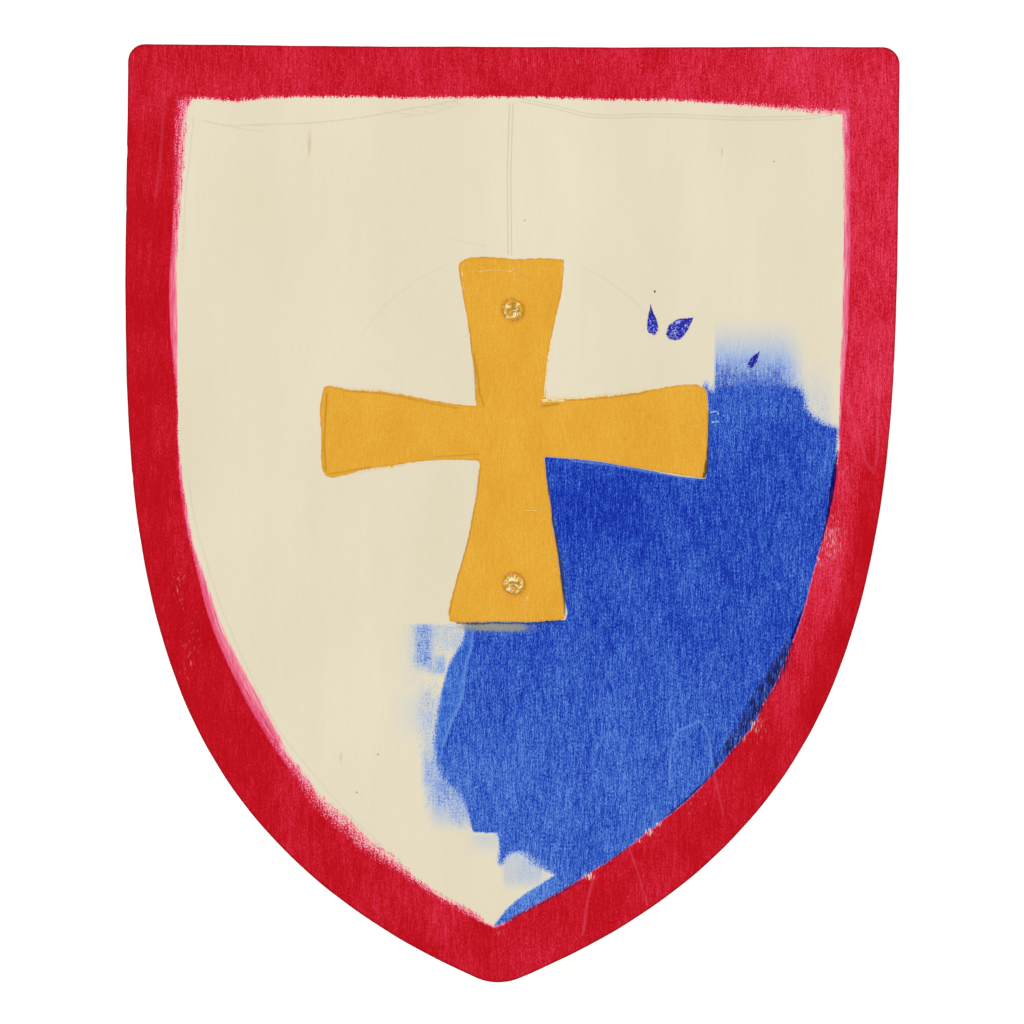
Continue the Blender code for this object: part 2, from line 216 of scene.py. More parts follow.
# Fine lines: (how dark, half its width, half the gap where it was drawn twice, its path). On the wood
# they are pencil, in the cross they are brown, and in the red and the blue they are growth lines of
# the veneer that took less paint.
PENCIL = 0.27
LINES = [
    (0.30, PENCIL, 0.7, [(-0.9, 161.6), (-1.3, 132.8), (-0.6, 101.4)]),
    (0.24, PENCIL, 0, [(-122.4, 153.2), (-117.7, 151.9), (-99.1, 151.9), (-72.3, 153.4), (-44.7, 158),
                       (-21.9, 162.4)]),
    (0.14, PENCIL, 0, [(-113.7, 151.4), (-106, 149.8), (-97, 149)]),
    (0.14, PENCIL, 0, [(-44, 155.2), (-34, 157), (-20, 160.9)]),
    (0.24, PENCIL, 0.6, [(2.8, 162.8), (14.2, 160.6), (29.5, 157.2), (57.9, 157.4), (104.5, 156.8),
                         (119.8, 157.9), (128.9, 160)]),
    (0.18, PENCIL, 0, [(-126, 154.4), (-127.4, 139.7), (-128.8, 125.9), (-129.5, 102)]),
    (0.16, PENCIL, 0, [(-126.4, 11.5), (-123, -7.4), (-118.5, -22), (-113.8, -36.1), (-108.6, -48.7),
                       (-100.6, -66), (-88.6, -88), (-76.6, -103), (-64.6, -116.6), (-48.3, -132)]),
    (0.09, PENCIL, 0, "compass left"),
    (0.12, PENCIL, 0, "compass right"),
    (0.12, PENCIL, 0, [(-24.4, 107.8), (-17, 106), (-10.6, 105.2)]),
    (0.50, 0.34, 0, [(-16.5, 73), (-14.8, 63.4), (-13.1, 56.7), (-11.8, 47.2), (-10.2, 41.7)]),
    (0.55, 0.40, 0, [(-72.2, 46.5), (-72.6, 37.8), (-72.9, 27.1), (-72.2, 15.7)]),
    (0.40, 0.34, 0, [(-65.1, 47.2), (-47.3, 45.8), (-32.7, 43), (-20.8, 40.8)]),
    (0.45, 0.34, 0, [(-71.4, 14.3), (-61.2, 16), (-55.3, 17.1)]),
    (0.35, 0.34, 0, [(-29.7, 21.6), (-20, 22.2), (-11.9, 23)]),
    (0.60, 0.50, 0, [(12.5, 42.2), (16, 42.6), (19.8, 43.3)]),
    (0.40, 0.26, 0, [(22, 44.4), (31.6, 45.1), (43, 46.3), (54, 48)]),
    (0.45, 0.30, 0, [(-13.4, 44), (-14.2, 56.4), (-15.2, 63.9), (-16, 70)]),
    (0.45, 0.30, 0, [(-11.6, 17), (-13.4, 1), (-16.3, -14), (-18.9, -23.5), (-20.9, -31), (-22.4, -40)]),
    (0.60, 0.40, 0, [(24, 20.8), (38, 19.4), (56.5, 16.5), (74, 14)]),
    (0.55, 0.45, 0, [(65.1, -108.5), (65, -99.8), (66, -90.4), (68.7, -84.8), (73, -83.2), (76, -81),
                     (79, -84.7), (81, -92.5), (81.9, -99.6)]),
    (0.60, 0.50, 0, [(-13.5, -47), (-14.2, -54.2), (-15.9, -60.2), (-17.4, -73), (-21.4, -83),
                     (-24.6, -92.8)]),
    (0.28, 0.45, 0, [(82.8, -103.2), (84.8, -111.8), (86.5, -119.7)]),
    (0.35, 0.35, 0, [(49, -131), (52, -139), (54.6, -147), (57, -155)]),
    (0.42, 0.50, 0, [(35.7, -142.4), (33.2, -152.7), (31.6, -166.2)]),
    (0.28, 0.60, 0, [(132.7, 47), (136.5, 36.5), (139.2, 28.7), (141.4, 20.7), (143.4, 18.2),
                     (144.8, 22.7), (145.4, 38.5), (146, 60)]),
    (0.22, 0.60, 0, [(-138.1, 164), (-138.4, 150), (-139.4, 134), (-141, 122)]),
]
COMPASS = {"compass left": (112, 150), "compass right": (34, 66)}
COMPASS_MIDDLE = (1.0, 32.5)
COMPASS_RADIUS = 70
# A line's darkness goes down to nothing between these distances from it.
LINE_FADE = (1.6, 2.6)

# Places where the red was scuffed or went on thin: (x, y), half width, half length, how much.
SCUFFS = [
    ((127.6, -10), 6.2, 12, 0.72), ((133.2, 17.5), 3.4, 7.5, 0.42), ((99.6, -82), 3.6, 7, 0.6),
    ((-129.8, -30), 3.6, 10, 0.42), ((-124.8, -56), 3.6, 13, 0.40), ((136.6, 165.5), 4.2, 5.5, 0.36),
    ((-139, 150), 4, 16, 0.26), ((-2, -166.4), 2.4, 1.8, 0.45), ((107.4, 161.6), 2.2, 1.6, 0.6),
    ((78, -112), 6, 8, 0.26), ((20, 178), 70, 3, 0.26),
]

# Places along the border where neither colour reached the wood: as above.
CHIPS = [
    ((97.4, -83), 1.5, 2.6, 0.8), ((93.6, -87.8), 1.2, 1.6, 0.7), ((61.2, -122), 2.0, 1.4, 0.8),
    ((57.2, -125.2), 2.2, 1.5, 0.9), ((52.6, -128.6), 1.6, 1.2, 0.7), ((33.5, -143.0), 2.8, 1.5, 0.85),
    ((37.8, -139.9), 1.4, 1.0, 0.6), ((122.4, -17), 0.6, 6, 0.6), ((-3.4, -163), 1.2, 1.2, 0.7),
]

# A knot of brown and specks of dust, as (x, y), radius across and radius along.
FLECKS = [
    ((-80.3, 144.3), 0.8, 5.2), ((82.5, 143.5), 0.5, 2.0), ((-64.9, -97.5), 0.5, 2.0),
    ((103.1, 139.8), 0.35, 0.35), ((5.1, 115.3), 0.35, 0.35), ((-50.3, -96.1), 0.4, 0.4),
    ((-58.4, -111.2), 0.4, 0.4),
]

# Thick spots in the ochre: (x, y) and radius.
OCHRE_SPOTS = [((51.6, 41), 0.9), ((54.7, 38.6), 1.0), ((45.5, 29.6), 1.1)]

# Drops of paint: (x, y), width, length, height, how pointed, how full, the way that the point turns,
# wrinkle.
DROPS = [
    ((55.6, 76.8), 6.2, 12.0, 1.0, 0.97, 1.1, 5, 0.40),
    ((66.9, 73.8), 7.8, 12.6, 1.1, 0.86, 2.4, -50, 0.42),
    ((96.3, 61.6), 3.6, 8.0, 0.9, 0.85, 1.4, -34, 0.34),
    ((56.7, 87.9), 0.7, 0.8, 0.3, 0.0, 1.0, 0, 0.05),
]
DROP_SINK = 0.02

# Ridges of ochre, where the brush left its load, and pale ones along the right arm, their paleness partly a
# painted highlight.
OCHRE_RIDGES = [
    [(-15.6, 94.5), (-8.5, 95.4), (-1.2, 95.1), (3.6, 93.6)],
    [(-0.6, 95.0), (1.4, 96.7)],
    [(-19.4, 95.7), (-19.2, 91), (-18.3, 87)],
    [(20, 99.2), (19.9, 93)],
    [(8.2, -32.1), (7.7, -34.2), (6.2, -36.5)],
    [(7.6, -41), (7.6, -43.4)],
    [(6.9, 0.7), (10, 0.9), (12.8, 0.7)],
    [(68.8, 34.8), (72, 35), (75.1, 34.9)],
]
PALE_RIDGES = [
    [(12.4, 44.5), (16, 44.8), (20.1, 45), (26, 45.4), (31.6, 46), (37, 46.6)],
    [(13, 44.0), (17, 44.2), (22, 44.3)],
    [(16.2, 69), (14.9, 60.3), (14.1, 52.4), (13.6, 45.6)],
]
# Small ridges on the blue, in a pale blue that is partly a painted highlight.
BLUE_RIDGES = [[(79.2, 40.4), (81.7, 40.9), (82.4, 39.6)], [(79.7, 36.6), (82.5, 36.9)]]
RIDGE_WIDTH = 0.6
RIDGE_HEIGHT = 0.22
RIDGE_UNEVENNESS = 0.5

# The screws, as their solids have them, under their coat of ochre. The insets leave room for the coat.
SCREWS = ["upper_screw", "lower_screw"]
SHANK_RADIUS = 2.1
SHANK_POINT = 4
RECESS_SPAN = 4.6
RECESS_WIDTH = 1.3
RECESS_DEPTH = 0.35
HEAD_INSET = 0.25
CROWN_INSET = 0.12
HEAD_SEAT = 0.3
HEAD_ROUNDNESS = 0.62
COAT_LUMP = 0.09
HOLE_RADIUS = 2.4

# The grip, sawn from one piece of pine.
HANDLE_LOW, HANDLE_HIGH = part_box("back_handle")
FOOT_LENGTH = 26
GRIP_THICKNESS = 16
OUTER_CORNER_RADIUS = 24
FINGER_CORNER_RADIUS = 12
HANDLE_ROUNDING = 3
SHARP_EDGE = math.radians(35)

# The camera looks straight down, turned as far as the board is turned in the photograph.
VIEW_WIDTH = 404
LENS = 100
SENSOR = 36
BOARD_TURN = math.radians(0.72)
VIEW_MIDDLE = (1.46, 0.2)

# A table of white card under an even sky, with four square lamps: name, place, size in metres, watts.
WHITE = (1.0, 1.0, 1.0, 1.0)
SKY_STRENGTH = 0.27
CARD_GLOW = 0.32
CARD_SIZE = 4.0
SOFTBOXES = [
    ("left_softbox", (-1.15, 0.8, 1.75), 1.3, 18),
    ("right_softbox", (1.2, -0.6, 1.75), 1.3, 16),
    ("top_softbox", (0.5, 1.4, 1.6), 1.2, 9),
    ("low_softbox", (-0.6, -1.3, 1.6), 1.2, 7),
]


# Node trees

MATH = "ShaderNodeMath"
VECTOR = "ShaderNodeVectorMath"
NOISE = "ShaderNodeTexNoise"
RANGE = "ShaderNodeMapRange"
MIX = "ShaderNodeMix"
RAMP = "ShaderNodeValToRGB"
SPLIT = "ShaderNodeSeparateXYZ"
JOIN = "ShaderNodeCombineXYZ"
STORED = "ShaderNodeAttribute"


def colour(code):
    """An sRGB hex colour as linear red, green, blue and full alpha."""
    parts = [int(code[start:start + 2], 16) / 255 for start in (1, 3, 5)]
    return (*(part / 12.92 if part <= 0.04045 else ((part + 0.055) / 1.055) ** 2.4 for part in parts), 1.0)


def add(tree, kind, inputs=(), out=0, stops=(), **settings):
    """Adds a node with its settings, its inputs as values or links, and returns one of its outputs.
    Inputs are a list from the first socket on, or a dictionary by socket name or number."""
    node = tree.nodes.new(kind)
    for name, value in settings.items():
        setattr(node, name, value)
    for place, (position, code) in enumerate(stops):
        stop = node.color_ramp.elements[place] if place < 2 else node.color_ramp.elements.new(position)
        stop.position, stop.color = position, colour(code)
    for key, value in inputs.items() if isinstance(inputs, dict) else enumerate(inputs):
        if isinstance(value, bpy.types.NodeSocket):
            tree.links.new(value, node.inputs[key])
        else:
            node.inputs[key].default_value = value
    return node.outputs[out] if len(node.outputs) > out else node


def new_material(name, **values):
    """A material with a Principled shader, whose plain values are set on its own sockets."""
    material = bpy.data.materials.new(name)
    material.use_nodes = True
    shader = material.node_tree.nodes["Principled BSDF"]
    for socket, value in values.items():
        shader.inputs[socket.replace("_", " ")].default_value = value
    return material, material.node_tree, shader


def place_in_mm(tree):
    """Object coordinates in millimetres."""
    spot = add(tree, "ShaderNodeTexCoord", out=3)
    return add(tree, VECTOR, {0: spot, "Scale": 1 / MM}, operation="SCALE")


def grain(tree, place, across, along, detail=2.0, seed=0.0, rough=0.5, spread=0.0):
    """Noise from 0 to 1 whose marks are so many millimetres wide and long, upright on the board. With
    a spread, what lies within that much of its middle is stretched to run from 0 to 1."""
    spot = add(tree, VECTOR, (place, (1 / across, 1 / along, 1 / across)), operation="MULTIPLY")
    spot = add(tree, VECTOR, (spot, (seed, seed * 1.7, seed * 0.6)), operation="ADD")
    noise = add(tree, NOISE, {"Vector": spot, "Scale": 1.0, "Detail": detail, "Roughness": rough})
    if not spread:
        return noise
    return add(tree, RANGE, (noise, 0.5 - spread, 0.5 + spread), clamp=False)


# Distances on the board, in millimetres


def smooth(low, high, value):
    """0 below one limit, 1 above the other and an easy step between them. The limits may fall."""
    share = np.clip((value - low) / (high - low), 0, 1)
    return share * share * (3 - 2 * share)


def smooth_line(points):
    """A smooth line through given places, in short steps."""
    line = np.array(points, float)
    if len(line) == 2:
        return [tuple(point) for point in line]
    run = np.concatenate([[0], np.cumsum(np.hypot(*np.diff(line[:, :2], axis=0).T))])
    slope = np.gradient(line, run, axis=0)
    drawn = []
    for index in range(len(line) - 1):
        length = run[index + 1] - run[index]
        share = np.linspace(0, 1, max(1, round(length / LINE_STEP)), endpoint=False)[:, None]
        start, end = line[index], line[index + 1]
        bend = share ** 2 * (3 - 2 * share)
        leave = share * (1 - share) ** 2 * length * slope[index]
        arrive = share ** 2 * (share - 1) * length * slope[index + 1]
        drawn += [tuple(point) for point in start + (end - start) * bend + leave + arrive]
    return drawn + [tuple(line[-1])]


def closed_line(stretches):
    """A closed outline from smooth stretches, each starting where the one before it ends."""
    return [point for stretch in stretches for point in smooth_line(stretch)[:-1]]


def distance_to_path(x, y, path):
    """How far each point is from a path, positive on the path's left, whether it lies beside it and
    not past its ends, and the path's third value there, where it has one."""
    nearest = np.full(x.shape, np.inf)
    side = np.ones(x.shape)
    beside = np.ones(x.shape)
    third = np.zeros(x.shape)
    last = len(path) - 2
    for index, (here, there) in enumerate(zip(path, path[1:])):
        dx, dy = there[0] - here[0], there[1] - here[1]
        along = ((x - here[0]) * dx + (y - here[1]) * dy) / (dx * dx + dy * dy)
        share = np.clip(along, 0, 1)
        gap = np.hypot(x - here[0] - share * dx, y - here[1] - share * dy)
        closer = gap < nearest
        nearest[closer] = gap[closer]
        side[closer] = np.where(dx * (y - here[1]) - dy * (x - here[0]) < 0, -1.0, 1.0)[closer]
        past = ((index == 0) & (along < 0)) | ((index == last) & (along > 1))
        beside[closer] = np.where(past, 0.0, 1.0)[closer]
        if len(here) > 2:
            third[closer] = (here[2] + share * (there[2] - here[2]))[closer]
    return nearest * side, beside, third


def depth_inside(x, y, outline):
    """How far each point is inside a closed outline. It is negative outside."""
    closed = list(outline) + [outline[0]]
    gap = np.abs(distance_to_path(x, y, closed)[0])
    inside = np.zeros(x.shape, bool)
    for (ax, ay), (bx, by) in zip(closed, closed[1:]):
        if ay != by:
            inside ^= ((ay > y) != (by > y)) & (x < (bx - ax) * (y - ay) / (by - ay) + ax)
    return np.where(inside, gap, -gap)


def side_curve(side):
    """Half of the outline, from the tip up to its shoulder: side is 1 for the right, -1 for the left."""
    lean = math.pi / 2 - TIP_HALF_ANGLE
    tip_centre = Vector((TIP_SHIFT, TIP_RADIUS - HALF_LENGTH))
    start = tip_centre + TIP_RADIUS * Vector((side * math.sin(lean), -math.cos(lean)))
    end = Vector((side * HALF_WIDTH, HALF_LENGTH - STRAIGHT_SIDE))
    pull = SIDE_FULLNESS * (end.y - start.y)
    leaving = start + pull * Vector((side * math.cos(lean), math.sin(lean)))
    arriving = end - Vector((0, pull))
    shoulder = HALF_LENGTH - TOP_CORNER_RADIUS - (LEFT_SHOULDER_DROP if side < 0 else 0)
    corner = Vector((side * (HALF_WIDTH - TOP_CORNER_RADIUS), shoulder))
    tip = [tip_centre + TIP_RADIUS * Vector((side * math.sin(turn), -math.cos(turn)))
           for turn in np.linspace(0, lean, 12, endpoint=False)]
    curve = interpolate_bezier(start, leaving, arriving, end, 80)
    rounding = [corner + TOP_CORNER_RADIUS * Vector((side * math.cos(turn), math.sin(turn)))
                for turn in np.linspace(0, math.pi / 2, 12)]
    return [(point.x, point.y) for point in tip + list(curve) + rounding]


def sawn_outline():
    """The whole outline in even steps, with the slight wander of a hand-held saw, and its outward
    directions. The wander only goes inwards, so the board keeps its size."""
    right, left = side_curve(1), side_curve(-1)
    line = np.array(right + left[:0:-1] + right[:1])
    run = np.concatenate([[0], np.cumsum(np.hypot(*np.diff(line, axis=0).T))])
    count = round(run[-1] / RIM_STEP)
    steps = np.linspace(0, run[-1], count, endpoint=False)
    points = np.stack([np.interp(steps, run, line[:, axis]) for axis in (0, 1)], axis=1)
    ahead = np.roll(points, -1, axis=0) - np.roll(points, 1, axis=0)
    outward = np.stack([ahead[:, 1], -ahead[:, 0]], axis=1) / np.hypot(*ahead.T)[:, None]
    turn = 2 * math.pi * steps / run[-1]
    wander = 0.5 * np.sin(11 * turn + 1) + 0.3 * np.sin(27 * turn + 4) + 0.2 * np.sin(63 * turn)
    inset = SAW_WOBBLE * (0.5 + 0.5 * wander)
    across = np.clip(1 - ((points[:, 0] - TOP_SAG_MIDDLE) / (HALF_WIDTH + TOP_SAG_MIDDLE)) ** 2, 0, 1)
    on_top = smooth(0.97, 1, outward[:, 1])
    inset += TOP_SAG * across * on_top
    return points - outward * inset[:, None], outward


def nick_depths(points):
    """How deep the arris is dented at each point of the outline."""
    depth = np.zeros(len(points))
    for place, width, deep in NICKS:
        gap = np.hypot(points[:, 0] - place[0], points[:, 1] - place[1])
        depth = np.maximum(depth, deep * (1 - smooth(0.2 * width, 0.75 * width, gap)))
    return depth


def band_at(x, y):
    """Width and dryness of the thin red at each point."""
    top = smooth(150, 155, y) * (1 - smooth(126.8, 128.6, np.abs(x)))
    values = []
    for column in (1, 2):
        left, right, above = (np.interp(spot, *zip(*sorted((row[0], row[column]) for row in table)))
                              for table, spot in ((LEFT_BAND, y), (RIGHT_BAND, y), (TOP_BAND, x)))
        values.append(np.where(x < 0, left, right) * (1 - top) + above * top)
    return values


def patches(x, y, boxes):
    """Soft-edged patches of thin paint, the strongest at each point."""
    most = np.zeros(x.shape)
    for (left, right, bottom, top), (near_left, near_right, near_bottom, near_top), strength in boxes:
        across = smooth(left, left + near_left, x) * (1 - smooth(right - near_right, right, x))
        upright = smooth(bottom, bottom + near_bottom, y) * (1 - smooth(top - near_top, top, y))
        most = np.maximum(most, strength * across * upright)
    return most


def nearest_line(x, y):
    """Signed distance to the nearest fine line, half the gap between its strokes, half its width, and
    how dark it is, which is nothing far from all of them."""
    distance = np.full(x.shape, 1e3)
    split, width, dark = np.zeros(x.shape), np.full(x.shape, PENCIL), np.zeros(x.shape)
    for strength, half_width, half_gap, line in LINES:
        path = compass_line(*COMPASS[line]) if isinstance(line, str) else smooth_line(line)
        gap, beside, _ = distance_to_path(x, y, path)
        closer = np.abs(gap) < np.abs(distance)
        distance[closer], dark[closer] = gap[closer], (strength * beside)[closer]
        split[closer], width[closer] = half_gap, half_width
    return distance, split, width, dark * (1 - smooth(*LINE_FADE, np.abs(distance) - split))


def compass_line(start, end):
    """An arc of the compass, from one turn to another in degrees."""
    x, y = COMPASS_MIDDLE
    turns = np.radians(np.linspace(start, end, 16))
    return [(x + COMPASS_RADIUS * math.cos(turn), y + COMPASS_RADIUS * math.sin(turn)) for turn in turns]


def nearest_stroke(x, y):
    """The signed distance to the nearest dark stroke, half its width there, and how dark, ragged and
    warm it is. Past its ends and far from it there is no stroke, so its width is below nothing there."""
    nearest, width, depth = np.full(x.shape, 1e3), np.zeros(x.shape), np.full(x.shape, -1e3)
    values = [np.zeros(x.shape) for _ in range(3)]
    for *look, path in STROKES:
        gap, beside, half_width = distance_to_path(x, y, smooth_line(path))
        closer = half_width - np.abs(gap) > depth
        depth[closer] = (half_width - np.abs(gap))[closer]
        half_width = np.where((beside > 0) & (np.abs(gap) < half_width + STROKE_REACH), half_width, NO_STROKE)
        nearest[closer], width[closer] = gap[closer], half_width[closer]
        for layer, value in zip(values, look):
            layer[closer] = value
    return nearest, width, *values


def soft_spot(x, y, middle, size, power=1.0):
    """1 in the middle of an oval of that half width and half length, falling off smoothly."""
    return power * np.exp(-((x - middle[0]) / size[0]) ** 2 - ((y - middle[1]) / size[1]) ** 2)


def spots_at(x, y, spots):
    """The strongest of several soft spots at each point."""
    return np.maximum.reduce([soft_spot(x, y, place, (wide, long), power)
                              for place, wide, long, power in spots])


def red_tone(x, y, depth):
    """How light the red went on: deep on the left, lighter along the top and on the right, where the
    outer half of the border had a second coat."""
    right = smooth(20, 130, x) * smooth(-110, -20, y)
    top = smooth(140, 172, y)
    second = (1 - smooth(6, 12, depth)) * smooth(40, 10, y) * smooth(-120, -70, y) * (x > 0)
    tone = 0.16 + 0.37 * right + 0.20 * top * (1 - right) + 0.10 * smooth(-60, -150, y)
    return tone - 0.36 * second * right


def blue_tone(x, y):
    """How light the blue went on: deep under the cross, lighter towards the bottom and the left."""
    tone = 0.36 + 0.14 * smooth(-30, -110, y) + 0.10 * smooth(30, -20, x) * smooth(-70, -120, y)
    tone -= soft_spot(x, y, (38, 4), (34, 18), 0.20)
    tone += soft_spot(x, y, (92, 46), (22, 12), 0.16) + soft_spot(x, y, (124, 26), (8, 12), 0.14)
    return tone - 0.04 * smooth(60, 110, x) + soft_spot(x, y, (8, -150), (14, 10), 0.30)


def blue_softness(x, y):
    """How many millimetres the solid blue takes to fade out at its edge."""
    soft = 0.55 + soft_spot(x, y, (99, 56), (16, 12), 5.5) + soft_spot(x, y, (123, 40), (10, 12), 1.6)
    soft += soft_spot(x, y, (-19, -52), (7, 8), 0.9) + soft_spot(x, y, (-28, -88), (6, 14), 1.3)
    soft += soft_spot(x, y, (-24, -108), (12, 10), 3.2)
    return soft + soft_spot(x, y, (12, -136.5), (11, 4), 3.0)


def paint_layout(x, y, rim):
    """What the painter did at each point, for the materials to read by name."""
    line, line_split, line_width, line_dark = nearest_line(x, y)
    band, dry = band_at(x, y)
    stroke, stroke_width, stroke_dark, stroke_rag, stroke_warm = nearest_stroke(x, y)
    depth = depth_inside(x, y, rim)
    arm_tops = (soft_spot(x, y, (-52, 47.2), (16, 4)) + soft_spot(x, y, (34, 46), (24, 3))
                + soft_spot(x, y, (-50, 16.6), (15, 4)))
    return {
        "rim": depth,
        "red": -depth_inside(x, y, closed_line(BORDER_EDGE)),
        "red_band": band,
        "red_dry": dry,
        "red_tone": red_tone(x, y, depth),
        "red_scuff": spots_at(x, y, SCUFFS),
        "chip": spots_at(x, y, CHIPS),
        "ochre": depth_inside(x, y, closed_line(CROSS_EDGE)),
        "ochre_rag": np.minimum(arm_tops, 1),
        "blue": depth_inside(x, y, closed_line(BLUE_EDGE)),
        "blue_soft": blue_softness(x, y),
        "blue_gap": (soft_spot(x, y, (24.4, -38.6), (2.6, 3.6), 1.1)
                     + soft_spot(x, y, (66, 15.6), (12, 2.4), 0.5)),
        "smear": soft_spot(x, y, (-6, -45.2), (13, 1.9)),
        "blue_haze": patches(x, y, BLUE_HAZES),
        "blue_dry": patches(x, y, BLUE_DRY),
        "blue_tone": blue_tone(x, y),
        "blue_strip": depth_inside(x, y, closed_line(BLUE_STRIP)),
        "stroke": stroke,
        "stroke_width": stroke_width,
        "stroke_dark": stroke_dark,
        "stroke_rag": stroke_rag,
        "stroke_warm": stroke_warm,
        "line": line,
        "line_split": line_split,
        "line_width": line_width,
        "line_dark": line_dark,
    }


# The board


def fill(rim, hole_rims, grid):
    """Triangles between a rim and its holes, over an even grid of points."""
    low, high = rim.min(axis=0), rim.max(axis=0)
    across, along = (np.arange(low[axis] + grid / 2, high[axis], grid) for axis in (0, 1))
    x, y = (side.ravel() for side in np.meshgrid(across, along))
    room = depth_inside(x, y, [tuple(point) for point in rim])
    for hole in hole_rims:
        room = np.minimum(room, np.hypot(x - hole[:, 0].mean(), y - hole[:, 1].mean()) - HOLE_RADIUS)
    inner = np.stack([x, y], axis=1)[room > GRID_CLEARANCE * grid]
    points, edges = [], []
    for loop in [rim, *hole_rims]:
        first = len(points)
        points += loop.tolist()
        edges += [(first + step, first + (step + 1) % len(loop)) for step in range(len(loop))]
    points += inner.tolist()
    flat = [Vector(point) for point in points]
    spots, _, faces, origins, _, _ = delaunay_2d_cdt(flat, edges, [], 1, 1e-5)
    spots = np.array([tuple(spot) for spot in spots])
    order = np.array([origin[0] for origin in origins])
    filled = np.zeros((len(points), 2))
    filled[order] = spots
    faces = order[np.array(faces)]
    middle = filled[faces].mean(axis=1)
    open_hole = np.zeros(len(faces), bool)
    for hole in hole_rims:
        open_hole |= np.hypot(*(middle - hole.mean(axis=0)).T) < HOLE_RADIUS
    return filled, faces[~open_hole]


def edge_rings():
    """The sawn edge from the face's rim down to the back's rim: (inset, height above the back,
    share of the nicks), with a rounded arris at both faces and a fine groove at each glue line."""
    thick = (FACE - BACK) / MM
    turns = np.linspace(0, math.pi / 2, ARRIS_STEPS + 1)
    rings = [(ARRIS * (1 - math.sin(turn)), thick - ARRIS * (1 - math.cos(turn))) for turn in turns]
    for glue in range(1, PLIES):
        height = thick * (1 - glue / PLIES)
        rings += [(0.0, height + PLY_GROOVE), (PLY_GROOVE, height), (0.0, height - PLY_GROOVE)]
    rings += [(ARRIS * (1 - math.cos(turn)), ARRIS * (1 - math.sin(turn))) for turn in turns]
    return [(inset, height, max(0.0, 1 - (thick - height) / NICK_DROP)) for inset, height in rings]


def strip(upper, lower):
    """Quads between two closed rings of point numbers, facing outwards where the rings run
    anticlockwise and the first one is on top."""
    return [(upper[at], lower[at], lower[at - len(lower) + 1], upper[at - len(upper) + 1])
            for at in range(len(upper))]


def screw_spots():
    boxes = [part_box(name) for name in SCREWS]
    return [((low.x + high.x) / 2 / MM, (low.y + high.y) / 2 / MM) for low, high in boxes]


def make_board(face_paint, edge_paint, bare_back):
    outline, outward = sawn_outline()
    nicks = nick_depths(outline)
    rings = edge_rings()
    loops = [outline - outward * (inset + nicks * share)[:, None] for inset, _, share in rings]
    turns = np.linspace(0, 2 * math.pi, 24, endpoint=False)
    holes = [np.stack([x + HOLE_RADIUS * np.cos(turns), y + HOLE_RADIUS * np.sin(turns)], axis=1)
             for x, y in screw_spots()]
    face_spots, face_tris = fill(loops[0], holes, FACE_GRID)
    back_spots, back_tris = fill(loops[-1], holes, BACK_GRID)
    rim, hole = len(outline), len(turns)
    level = [np.full(len(face_spots), FACE / MM)]
    spots = [face_spots]
    numbers = [list(range(rim))]
    total = len(face_spots)
    for (_, height, _), loop in list(zip(rings, loops))[1:-1]:
        numbers.append(list(range(total, total + rim)))
        spots.append(loop)
        level.append(np.full(rim, BACK / MM + height))
        total += rim
    numbers.append(list(range(total, total + rim)))
    spots.append(back_spots)
    level.append(np.full(len(back_spots), BACK / MM))
    faces = [tuple(tri) for tri in face_tris.tolist()]
    kinds = [FACE_SLOT] * len(faces)
    sawn = range(ARRIS_STEPS, len(numbers) - 1 - ARRIS_STEPS)
    for index, (upper, lower) in enumerate(zip(numbers, numbers[1:])):
        quads = strip(upper, lower)
        faces += quads
        kind = EDGE_SLOT if index in sawn else FACE_SLOT if index < ARRIS_STEPS else BACK_SLOT
        kinds += [kind] * len(quads)
    for index in range(len(holes)):
        upper = list(range(rim + index * hole, rim + (index + 1) * hole))
        lower = [number + total for number in upper]
        quads = strip(lower, upper)
        faces += quads
        kinds += [BACK_SLOT] * len(quads)
    back = [(third + total, second + total, first + total) for first, second, third in back_tris.tolist()]
    faces += back
    kinds += [BACK_SLOT] * len(back)
    flat, height = np.concatenate(spots), np.concatenate(level)
    mesh = bpy.data.meshes.new("painted_board")
    mesh.from_pydata(np.column_stack([flat, height]) * MM, [], faces)
    mesh.update()
    mesh.polygons.foreach_set("material_index", kinds)
    for material in (face_paint, edge_paint, bare_back):
        mesh.materials.append(material)
    mesh.shade_smooth()
    rim_line = [tuple(point) for point in outline[::3]]
    for name, values in paint_layout(flat[:, 0], flat[:, 1], rim_line).items():
        layer = mesh.attributes.new(name, "FLOAT", "POINT")
        layer.data.foreach_set("value", values.astype(np.float32))
    return show(mesh, "painted_board")


def show(mesh, name):
    piece = bpy.data.objects.new(name, mesh)
    bpy.context.scene.collection.objects.link(piece)
    return piece


# The grip


def rounded_corners(corners):
    """A flat outline with some of its corners as arcs: each corner is (place, radius)."""
    points = []
    for index, (corner, radius) in enumerate(corners):
        corner = Vector(corner)
        if not radius:
            points.append(corner)
            continue
        before = (Vector(corners[index - 1][0]) - corner).normalized()
        after = (Vector(corners[(index + 1) % len(corners)][0]) - corner).normalized()
        centre = corner + (before + after) * radius
        for turn in np.linspace(0, math.pi / 2, 14):
            points.append(centre - radius * (after * math.cos(turn) + before * math.sin(turn)))
    return points


